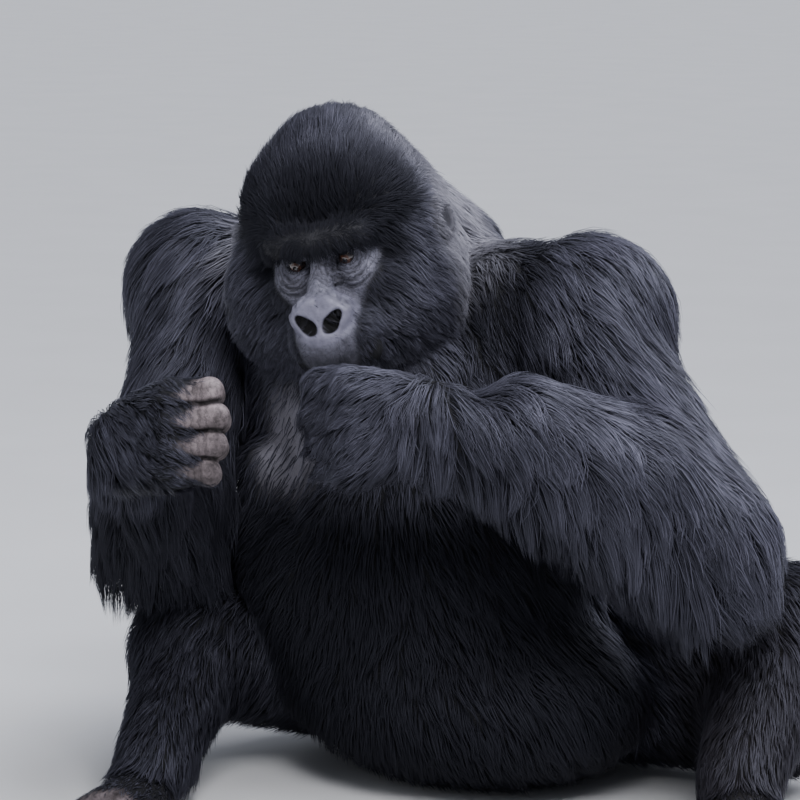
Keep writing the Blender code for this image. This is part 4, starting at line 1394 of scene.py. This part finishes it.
def make_skin_material():
    """Charcoal skin, lilac-grey and glossy on the nose, dark under the coat; painted shade in hollows,
    creases and wrinkles, and the chest's skin painted lighter as if lit.
    """
    nodes = Shader("skin_flesh")
    soft = nodes.node("TexNoise", Vector=nodes.place, Scale=38.0, Detail=5.0, Roughness=0.6)["Fac"]
    pores = nodes.node("TexVoronoi", Vector=nodes.place, Scale=520.0)["Distance"]
    creases = nodes.node("TexNoise", Vector=nodes.place, Scale=150.0, Detail=6.0, Roughness=0.65)
    crease = creases["Fac"]
    net = skin_net(nodes, creases["Color"])
    nose, palm, shade, ring = [nodes.attribute(name) for name in ("nose", "palm", "shade", "ring")]

    wander = nodes.add(nodes.times(crease, 13.0), nodes.times(soft, 16.0))
    rings, ring_lines = nodes.wave(nodes.add(nodes.times(ring, EYE_RINGS), wander))
    by_eye = nodes.times(nodes.ramp(ring, (0.040, 1.0), (0.070, 0.0)), 0.80)
    joint = nodes.times(nodes.attribute("joint"), JOINT_FOLDS)
    folds, fold_lines = nodes.wave(nodes.add(joint, nodes.times(crease, 14.0)))

    face = nodes.ramp(soft, (0.30, FACE_DARK), (0.70, FACE_LIGHT))
    # Chest skin with painted light.
    chest = nodes.mix(0.7, face, CHEST_SKIN_AND_PAINTED_LIGHT)
    # Painted shade in the fine lines between the skin's cells.
    face = nodes.darken(0.20, face, net)
    # Painted shade in the wrinkles round the eyes.
    face = nodes.darken(by_eye, face, nodes.ramp(ring_lines, (0.0, CREASE_SHADE_GREY), (0.35, 1.0)))
    fingers = nodes.ramp(soft, (0.30, PALM_DARK), (0.66, PALM_LIGHT))
    # Painted shade in the folds across the fingers.
    fingers = nodes.darken(0.55, fingers, nodes.ramp(fold_lines, (0.0, CREASE_SHADE_GREY), (0.45, 1.0)))
    colour = coat_colour(nodes, nodes.times(crease, 0.10))
    colour = nodes.mix(nodes.attribute("chest"), colour, chest)
    colour = nodes.mix(nodes.attribute("bare"), colour, face)
    colour = nodes.mix(nose, colour, nodes.ramp(soft, (0.25, NOSE_DARK), (0.75, NOSE_LIGHT)))
    colour = nodes.mix(palm, colour, fingers)
    # Painted shade in hollows, clefts and creases.
    colour = nodes.mix(shade, colour, PAINTED_HOLLOW_SHADE)

    smooth = nodes.less(1.0, nodes.math("MAXIMUM", nodes.times(nose, 0.8), palm))
    height = nodes.add(nodes.times(pores, 0.35), crease)
    height = nodes.add(height, nodes.times(net, nodes.times(smooth, 0.5)))
    height = nodes.add(height, nodes.times(nodes.times(palm, folds), 0.30))
    wrinkles = nodes.times(rings, nodes.times(by_eye, smooth))
    height = nodes.add(height, nodes.times(wrinkles, 0.55))
    glossy = nodes.less(nodes.times(nose, 0.24), nodes.times(shade, 0.55))
    return nodes.finish(
        Base_Color=colour,
        Roughness=nodes.less(0.62, glossy),
        Specular_IOR_Level=0.34,
        Normal=nodes.node("Bump", Height=height, Strength=0.55, Distance=0.0018)["Normal"],
    )


def make_eye_material():
    """Brown iris, black pupil and brown-black white, under a wet surface."""
    nodes = Shader("eye_wet")
    flecks = nodes.node("TexNoise", Vector=nodes.place, Scale=900.0, Detail=2.0)["Fac"]
    angle = nodes.add(nodes.attribute("from_gaze"), nodes.times(flecks, 0.03))
    colour = nodes.ramp(
        angle, (0.0, PUPIL), (0.185, PUPIL), (0.215, IRIS_INNER), (0.40, IRIS_OUTER),
        (0.455, IRIS_RIM), (0.55, EYE_WHITE), (1.0, EYE_BACK),
    )
    return nodes.finish(Base_Color=colour, Roughness=0.10, Coat_Weight=1.0, Coat_Roughness=0.03)


# ---------------------------------------------------------------- the skin piece

DARK_FURROWS = 5  # how many of the furrows are shaded too


def nose_mask(points):
    """1 on the smooth nose pad and the lip under it."""
    forward, side, up = coordinates(mirrored(in_head(points)))
    return fade(np.hypot(side / 0.055, (up + 0.072) / 0.038), 0.80, 1.08) * ramp(forward, 0.135, 0.155)


def wrinkle_mark(points):
    """How far each point of the face lies from the nearer eye, in the plane of the face."""
    _, side, up = coordinates(mirrored(in_head(points)))
    return np.hypot(side - EYE_SPACING / 2.0 + 0.25 * up, up - 0.006)


def shade_mask(points):
    """Painted shade: 1 deep in the nostrils, mouth line, ears, finger gaps and eye corners, and less in
    the furrows; the lips are darkened as well.
    """
    local = in_head(points)
    both = mirrored(local)
    mouth_of_pit = vec(NOSTRIL_RADII) * vec((1.0, 0.0, 1.0)) + vec((0.004, 0.06, 0.004))
    pit = egg(both, NOSTRIL_PLACE, mouth_of_pit, NOSTRIL_AXES)
    nostril = fade(pit, -0.0020, 0.0020) * ramp(-nose_form(local, both), 0.0002, 0.0044)
    lip_line = vec(MOUTH_PATH[:-1]) - vec((0.006, 0.0, 0.0))
    mouth = fade(path_distance(both, lip_line), 0.0022, 0.0054)
    lips = 0.45 * ramp(-local[..., 2], 0.100, 0.140) * ramp(local[..., 0], 0.06, 0.10)
    furrows = []
    for path, width, _ in FURROW_PATHS[:DARK_FURROWS]:
        furrows.append(0.62 * np.exp(-((path_distance(both, path) / (0.9 * width)) ** 2)))
    lid = np.abs(ball(both, EYE_PLACE, EYE_RADIUS + 0.001))
    slit = egg(both, SLIT_PLACE, (0.020, 0.0158, 0.0090))
    rim = fade(lid, 0.002, 0.006) * fade(slit, -0.0005, 0.0020)
    gaps, ears = 0.92 * finger_gap_mask(points), 0.7 * ear_mask(points)
    return np.clip(largest(nostril, mouth, lips, *furrows, gaps, ears, rim), 0.0, 1.0)


def object_of(name, mesh, material):
    """A piece in the scene, riding on the body."""
    mesh.materials.append(material)
    mesh.shade_smooth()
    obj = add_object(name, mesh)
    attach(obj, "root")
    return obj


def skin_marks(points):
    """Every number that the skin's material reads, by name."""
    shares = part_shares(points)[0]
    off_hands = 1.0 - extremity_share(shares)
    return {
        "silver": silver_mark(points),
        "brown": brown_mark(points),
        "shade": shade_mask(points),
        "nose": nose_mask(points) * off_hands,
        "palm": palm_mask(points, shares),
        "joint": knuckle_mark(points),
        "chest": chest_mask(points) * off_hands,
        "ring": wrinkle_mark(points),
        "bare": np.maximum(bare_mask(points), 0.6 * ear_mask(points)) * off_hands,
    }


def make_skin(grid):
    """The skin piece, its atlas and what the coat needs to know of it."""
    mesh = make_skin_mesh(grid)
    mesh.calc_loop_triangles()
    points = read(mesh.vertices, "co", 3)
    triangles = read(mesh.loop_triangles, "vertices", 3, np.int32)
    owners = read(mesh.loop_triangles, "polygon_index", 1, np.int32)
    corners = points[triangles]
    cross = np.cross(corners[:, 1] - corners[:, 0], corners[:, 2] - corners[:, 0])
    parts = part_shares(corners.mean(1))[1]
    atlas = Atlas(unit(cross), parts, corners)
    chart_of_polygon = np.zeros(len(mesh.polygons), dtype=int)
    chart_of_polygon[owners] = atlas.chart
    loop_charts = np.repeat(chart_of_polygon, read(mesh.polygons, "loop_total", 1, np.int32))
    loop_points = points[read(mesh.loops, "vertex_index", 1, np.int32)]
    add_uv(mesh, atlas.map(loop_points, loop_charts))
    for name, values in skin_marks(points).items():
        add_attribute(mesh, name, values)
    skin = object_of("skin", mesh, make_skin_material())
    fleshy = [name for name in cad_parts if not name.startswith("eye_")]
    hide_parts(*fleshy)
    return {
        "points": points, "triangles": triangles, "parts": parts, "atlas": atlas,
        "areas": length_of(cross) / 2.0, "charts": chart_of_polygon[owners],
    }


# ---------------------------------------------------------------- eyes

EYE_GAZE = (0.93, -0.05, -0.28)
CORNEA_BULGE = 0.0009


def make_eye(side, material):
    """A wet eyeball with a slight bulge over the iris."""
    low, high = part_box("eye_" + side)
    centre = (vec(low) + vec(high)) / 2.0
    radius = (high[0] - low[0]) / 2.0
    build = bmesh.new()
    bmesh.ops.create_uvsphere(build, u_segments=64, v_segments=48, radius=1.0)
    mesh = bpy.data.meshes.new("eyeball_" + side)
    build.to_mesh(mesh)
    build.free()
    shape = read(mesh.vertices, "co", 3)
    angle = np.arccos(np.clip(shape[:, 2], -1.0, 1.0))
    gaze = unit(vec(EYE_GAZE) @ HEAD_AXES)
    across = unit(np.cross(gaze, (0.0, 0.0, 1.0)))
    turned = shape @ np.array([across, np.cross(gaze, across), gaze])
    bulge = CORNEA_BULGE * fade(angle, 0.35, 0.62)
    points = centre + turned * (radius + bulge)[:, None]
    mesh.vertices.foreach_set("co", points.ravel())
    mesh.update()
    add_attribute(mesh, "from_gaze", angle / (math.pi / 2.0))
    eye = object_of("eyeball_" + side, mesh, material)
    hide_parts("eye_" + side)


# ---------------------------------------------------------------- the coat

TUFT_PATCH = 0.003  # side of a tuft's patch on the bake map
MOST_TRIANGLES = 180000  # in one piece of coat
FLOOR_CLEARANCE = 0.002
ROOT_DEPTH = 0.0015  # of a tuft's root under the skin
ROOT_RISE = 0.40  # how steeply a tuft leaves the skin
SWAY = 0.22  # spread of direction from tuft to tuft
LOCK_SWAY = 0.42  # and from lock to lock
LOOSE_RISE = 0.35  # how much higher a loose tuft stands, as a share of the coat's depth


class Coat(typing.NamedTuple):
    """One kind of coat, in metres."""

    density: float  # tufts for each square metre
    length: float
    width: float
    rings: int  # segments along a tuft
    depth: float  # of the layer in which the tufts lie
    fall: float  # how far the tufts bend down
    free: float  # how far they may hang out of their layer
    locks: tuple  # spacing and pull of each size of lock, the widest first
    loose: float = 0.06  # share of loose tufts
    lift: float = 0.12  # share of the free hang that upward skin allows


COATS = {
    "head": Coat(200000, 0.034, 0.0013, 2, 0.017, 0.15, 0.012, ((0.016, 0.30), (0.007, 0.35)), 0.16),
    "neck": Coat(105000, 0.042, 0.0019, 2, 0.019, 0.15, 0.004, ((0.020, 0.30), (0.008, 0.35)), 0.10),
    "trunk": Coat(33500, 0.056, 0.0027, 2, 0.022, 0.30, 0.012, ((0.030, 0.30), (0.012, 0.35))),
    "upper_arm": Coat(
        46000, 0.110, 0.0018, 3, 0.029, 0.30, 0.060, ((0.036, 0.45), (0.013, 0.55)), 0.35, 0.45),
    "forearm": Coat(
        72000, 0.125, 0.0019, 4, 0.028, 0.80, 0.160, ((0.034, 0.55), (0.012, 0.55)), 0.35, 0.23),
    "hand": Coat(
        125000, 0.028, 0.0013, 2, 0.007, 0.20, 0.026, ((0.018, 0.35), (0.007, 0.35)), 0.40, 0.50),
    "thigh": Coat(32000, 0.048, 0.0026, 2, 0.019, 0.35, 0.010, ((0.024, 0.30), (0.011, 0.35))),
    "shank": Coat(48000, 0.044, 0.0024, 2, 0.015, 0.35, 0.010, ((0.020, 0.30), (0.010, 0.35))),
    "foot": Coat(60000, 0.014, 0.0016, 2, 0.004, 0.10, 0.0, ((0.010, 0.30),)),
}
HAND_LENGTHS = {"left": (2.1, 1.25), "right": (1.7, 0.6)}  # at the wrist and at the knuckles


def spread(low, span, count):
    """Random numbers from low to low + span."""
    return low + span * RANDOM.random(count)


def length_scale(points, part):
    """Longer or shorter coat from place to place on one part."""
    kind, side = split_name(part)
    if kind == "head":
        forward, _, up = coordinates(in_head(points))
        ear = np.minimum.reduce([length_of(points - ear_centre(side)) for side in SIDES])
        length = 1.25 - 0.70 * ramp(forward, 0.04, 0.13) + 0.15 * ramp(up, 0.08, 0.16)
        return length * (1.0 - 0.75 * bare_mask(points)) * (0.40 + 0.60 * ramp(ear, 0.035, 0.060))
    if kind == "trunk":
        x, y, z = coordinates(points)
        chest = ramp(-y, 0.12, 0.26) * ramp(z, 0.42, 0.52)
        flank = ramp(np.abs(x + 0.05), 0.20, 0.30)
        return 1.0 - 0.35 * chest + 0.5 * flank - 0.25 * ramp(y, 0.05, 0.15)
    if kind == "upper_arm":
        along = unit(vec(ELBOW[side]) - vec(SHOULDER[side]))
        share = (points - vec(SHOULDER[side])) @ along / UPPER_ARM_LENGTH
        return 0.75 + 0.45 * np.clip(share, 0.0, 1.0)
    if kind == "forearm":
        share = forearm_share(points, side)
        under = ramp(lerp(WRIST[side], ELBOW[side], 0.5)[2] - points[..., 2], -0.08, 0.08)
        return 0.60 + 0.40 * share + 0.25 * under * np.sqrt(share)
    if kind == "hand":
        reach = (points - vec(WRIST[side])) @ unit(HAND_ALONG[side])
        most, least = HAND_LENGTHS[side]
        return most - (most - least) * ramp(reach, 0.0, PALM_LENGTH + 0.02)
    return np.ones(points.shape[:-1])


def density_scale(points, part):
    """Fewer tufts on bare skin and where the body sits on the floor."""
    palm = palm_mask(points, part_shares(points)[0])
    bare = bare_mask(points) if part == "head" else 0.0
    scale = (1.0 - bare * 0.97) * (1.0 - palm) * (1.0 - ear_mask(points))
    scale = scale * (1.0 + 0.5 * palm * (1.0 - palm))
    if part == "trunk":
        scale = scale * (1.0 - 0.80 * chest_mask(points))
    return scale * ramp(points[..., 2], 0.004, 0.020)


def scatter(skin, part_number, part):
    """Roots of one part's tufts and the charts in which they lie."""
    mine = np.nonzero(skin["parts"] == part_number)[0]
    corners = skin["points"][skin["triangles"][mine]]
    density = COATS[split_name(part)[0]].density
    total = np.cumsum(skin["areas"][mine] * density * density_scale(corners.mean(1), part))
    count = int(total[-1])
    picks = (np.arange(count) + RANDOM.random(count)) * (total[-1] / count)
    chosen = np.minimum(np.searchsorted(total, picks), len(mine) - 1)
    first = np.sqrt(RANDOM.random(count))[:, None]
    second = RANDOM.random(count)[:, None]
    a, b, c = np.moveaxis(corners[chosen], 1, 0)
    roots = a * (1.0 - first) + b * first * (1.0 - second) + c * first * second
    return roots, skin["charts"][mine[chosen]]


def grow(grid, roots, lie, normals, lengths, coat, depth_share):
    """The middle line of each tuft, kept in the coat's layer over the skin or hanging free of it."""
    steps = coat.rings
    line = np.empty((len(roots), steps + 1, 3))
    line[:, 0] = roots - normals * ROOT_DEPTH
    heading = unit(lie + normals * ROOT_RISE)
    for step in range(1, steps + 1):
        share = step / steps
        place = line[:, step - 1] + heading * (lengths / steps)[:, None]
        height, slope = grid.lookup(place)
        goal = coat.depth * depth_share * share**0.7 + 0.001
        under = ramp(-slope[:, 2], 0.0, 0.5)
        most = goal + coat.free * share * (coat.lift + (1.0 - coat.lift) * under)
        wanted = np.clip(height, goal, most)
        place = place + slope * (wanted - height)[:, None]
        line[:, step] = place
        heading = unit(place - line[:, step - 1])
        held = fade(wanted - goal, 0.004, 0.030) * (1.0 - under)
        rising = np.maximum((heading * slope).sum(-1), 0.0) * held
        heading = unit(heading - slope * rising[:, None])
        fall = coat.fall * share
        heading = unit(heading * (1.0 - 0.5 * fall) + DOWN * fall * 0.9)
    return line


def leaders_of(roots, spacing, density):
    """The leaders, a sparse set of the roots, and for each root the number of its nearest one."""
    wanted = max(8, int(len(roots) / max(density * spacing**2, 1.0)))
    chosen = RANDOM.choice(len(roots), min(wanted, len(roots)), replace=False)
    tree = KDTree(len(chosen))
    for number, index in enumerate(chosen):
        tree.insert(roots[index], number)
    tree.balance()
    return chosen, np.array([tree.find(root)[1] for root in roots])


def gather(lines, chosen, nearest, pull):
    """Draws each tuft towards its leader, most at the tip."""
    offset = lines[chosen[nearest]] - lines
    strength = pull * spread(0.5, 0.9, len(lines))
    shares = np.linspace(0.0, 1.0, lines.shape[1]) ** 1.3
    return lines + offset * (strength[:, None] * shares)[..., None]


def ribbon_faces(rings):
    """Corner numbers of one tuft's faces: two rows of quads, and a triangle each at the tip."""
    faces = []
    for low in range(0, 3 * rings - 3, 3):
        high = low + 3
        faces += [(low, low + 1, high + 1, high), (low + 1, low + 2, high + 2, high + 1)]
    last, tip = 3 * rings - 3, 3 * rings
    return faces + [(last, last + 1, tip), (last + 1, last + 2, tip)]


def ribbon_mesh(name, lines, outward, widths, values, roots_uv):
    """Joined tufts: each a ridged blade that tapers to a tip."""
    count, rings = lines.shape[0], lines.shape[1] - 1
    across = unit(np.cross(np.gradient(lines, axis=1), outward))
    ridge = unit(np.cross(across, np.gradient(lines, axis=1)))
    taper = np.linspace(0.0, 1.0, rings + 1)[:-1]
    profile = 0.75 + 0.45 * taper - 0.75 * taper**2.2
    half = (widths[:, None] * profile[None] / 2.0)[..., None]
    base = lines[:, :-1]
    aside = across[:, :-1] * half
    rows = np.stack([base - aside, base + ridge[:, :-1] * half * 0.9, base + aside], axis=2)
    points = np.concatenate([rows.reshape(count, rings * 3, 3), lines[:, -1:]], axis=1)
    size = rings * 3 + 1
    faces = ribbon_faces(rings)
    pattern = np.array([index for face in faces for index in face])
    starts = np.cumsum([0] + [len(face) for face in faces[:-1]])
    loops = (pattern[None] + (np.arange(count) * size)[:, None]).ravel()
    loop_starts = (starts[None] + (np.arange(count) * len(pattern))[:, None]).ravel()
    mesh = bpy.data.meshes.new(name)
    mesh.vertices.add(count * size)
    mesh.vertices.foreach_set("co", points.astype(np.float32).ravel())
    mesh.loops.add(len(loops))
    mesh.loops.foreach_set("vertex_index", loops.astype(np.int32))
    mesh.polygons.add(len(loop_starts))
    mesh.polygons.foreach_set("loop_start", loop_starts.astype(np.int32))
    mesh.update(calc_edges=True)
    across_place = [0.0, 0.5, 1.0] * rings + [0.5]
    along_place = np.repeat(taper, 3).tolist() + [1.0]
    patch = (np.stack([across_place, along_place], axis=-1) - 0.5) * TUFT_PATCH
    add_uv(mesh, roots_uv[:, None] + patch[pattern][None])
    for key, value in values.items():
        add_attribute(mesh, key, np.repeat(value, size))
    add_attribute(mesh, "along", np.tile(along_place, count))
    return mesh


def tuft_tone(part, roots, normals, depth_share, lock_tone):
    """How light each tuft is: lighter near the coat's surface, some strands and locks much more; on the
    left arm painted light on the upward side and painted shade under the forearm.
    """
    count = len(roots)
    tone = -0.06 + 0.22 * depth_share + 0.66 * RANDOM.random(count) ** 3.5 + 0.30 * lock_tone**2
    # Painted shade on the underside of the left forearm.
    if part == "forearm_left":
        tone = tone * (1.0 - 0.62 * below_axis(roots, "left", -0.02, 0.10))
    # Painted light: the upward side of the left arm and hand lighter, the downward side darker, and
    # painted highlights on some upward tufts.
    if part in ("forearm_left", "hand_left", "upper_arm_left"):
        upward = normals[:, 2]
        tone = tone * (0.35 + 0.65 * ramp(upward, -0.60, 0.30))
        tone = tone + 0.70 * ramp(upward, 0.20, 0.85) * RANDOM.random(count) * (0.2 + 0.8 * lock_tone)
    return tone


def make_coat(skin, grid, part_number, part, material):
    """One part's coat, as one piece or as several side by side."""
    coat = COATS[split_name(part)[0]]
    roots, charts = scatter(skin, part_number, part)
    count = len(roots)
    shares = part_shares(roots)[0]
    normals = grid.lookup(roots)[1]
    lie = coat_lie(roots, normals, shares)
    locks = [(*leaders_of(roots, spacing, coat.density), pull) for spacing, pull in coat.locks]
    sway = (RANDOM.random((count, 3)) - 0.5) * SWAY
    for chosen, nearest, _ in locks:
        sway += ((RANDOM.random((len(chosen), 3)) - 0.5) * LOCK_SWAY)[nearest]
    lie = unit(lie + sway - normals * (sway * normals).sum(-1, keepdims=True))
    lengths = coat.length * length_scale(roots, part) * spread(0.70, 0.55, count)
    depth_share = spread(0.20, 0.75, count)
    loose = RANDOM.random(count) < coat.loose
    reach = np.where(loose, depth_share + LOOSE_RISE, depth_share)
    thin = np.clip(lengths / coat.length, 0.25, 1.0)
    lines = grow(grid, roots, lie, normals, lengths, coat, reach * thin)
    for lock in locks:
        lines = gather(lines, *lock)
    lines[:, 1:, 2] = np.maximum(lines[:, 1:, 2], FLOOR_CLEARANCE)
    outward = grid.lookup(lines)[1]
    chosen, nearest, _ = locks[0]
    lock_tone = RANDOM.random(len(chosen))[nearest]
    # The dark value is painted shade on the fur.
    values = {
        "tone": tuft_tone(part, roots, normals, depth_share, lock_tone),
        "silver": silver_mark(roots), "brown": brown_mark(roots), "dark": painted_shade_mark(roots, shares),
    }
    widths = coat.width * spread(0.75, 0.5, count) * np.clip(thin, 0.5, 1.0)
    uv = skin["atlas"].map(roots, charts)
    triangles = count * (4 * (coat.rings - 1) + 2)
    order = np.argsort(roots[:, 0], kind="stable")
    groups = np.array_split(order, -(-triangles // MOST_TRIANGLES))
    for number, group in enumerate(groups):
        name = "coat_" + part + ("_" + str(number + 1) if len(groups) > 1 else "")
        own = {key: value[group] for key, value in values.items()}
        mesh = ribbon_mesh(name, lines[group], outward[group], widths[group], own, uv[group])
        piece = object_of(name, mesh, material)


# ---------------------------------------------------------------- floor and light

FLOOR_SIZE = 60.0
LIGHT_AIM = (0.0, -0.2, 0.6)
WORLD_COLOUR = (0.78, 0.83, 0.98, 1.0)
WORLD_STRENGTH = 0.36


def make_floor():
    """A plain pale floor."""
    nodes = Shader("floor_paint")
    noise = nodes.node("TexNoise", Vector=nodes.place, Scale=3.0, Detail=4.0)["Fac"]
    colour = nodes.ramp(noise, (0.3, FLOOR_DARK), (0.7, FLOOR_LIGHT))
    corners = [(x * FLOOR_SIZE, y * FLOOR_SIZE, 0) for x, y in ((-1, -1), (1, -1), (1, 1), (-1, 1))]
    mesh = bpy.data.meshes.new("floor")
    mesh.from_pydata(corners, [], [(0, 1, 2, 3)])
    mesh.materials.append(nodes.finish(Base_Color=colour, Roughness=0.8))
    floor = add_object("floor", mesh)


def make_light(name, kind, place, energy, colour, **settings):
    """A light at a place, turned to the animal's chest."""
    data = bpy.data.lights.new(name, kind)
    data.energy = energy
    data.color = colour
    for key, value in settings.items():
        setattr(data, key, value)
    light = add_object(name, data)
    light.location = place
    face_towards(light, vec(place) - vec(LIGHT_AIM))


def make_world():
    """Even pale surroundings."""
    world = bpy.data.worlds.new("studio")
    world.use_nodes = True
    background = world.node_tree.nodes["Background"]
    background.inputs["Color"].default_value = WORLD_COLOUR
    background.inputs["Strength"].default_value = WORLD_STRENGTH
    bpy.context.scene.world = world


def make_studio():
    """Floor, surroundings and lights: a broad sky from behind and two soft boxes in front."""
    make_floor()
    make_world()
    sky_place = (0.75, 0.35, 1.90)
    make_light("sky", "SUN", sky_place, 3.2, (0.88, 0.90, 1.0), angle=math.radians(55.0))
    box = {"shape": "SQUARE"}
    make_light("key", "AREA", (1.4, -2.2, 3.3), 150.0, (0.95, 0.95, 1.0), size=2.0, **box)
    make_light("fill", "AREA", (-2.6, -3.0, 1.4), 18.0, (0.95, 0.97, 1.0), size=2.5, **box)


# ---------------------------------------------------------------- everything

make_studio()
low_corner = [cad_box[0][axis] - MARGIN for axis in range(3)]
high_corner = [cad_box[1][axis] + MARGIN for axis in range(3)]
body_grid = Grid(low_corner, high_corner, COARSE_CELL)
skin_facts = make_skin(body_grid)
eye_material = make_eye_material()
for eye_side in SIDES:
    make_eye(eye_side, eye_material)
coat_material = make_coat_material()
for index, part_name in enumerate(PART_NAMES):
    make_coat(skin_facts, body_grid, index, part_name, coat_material)
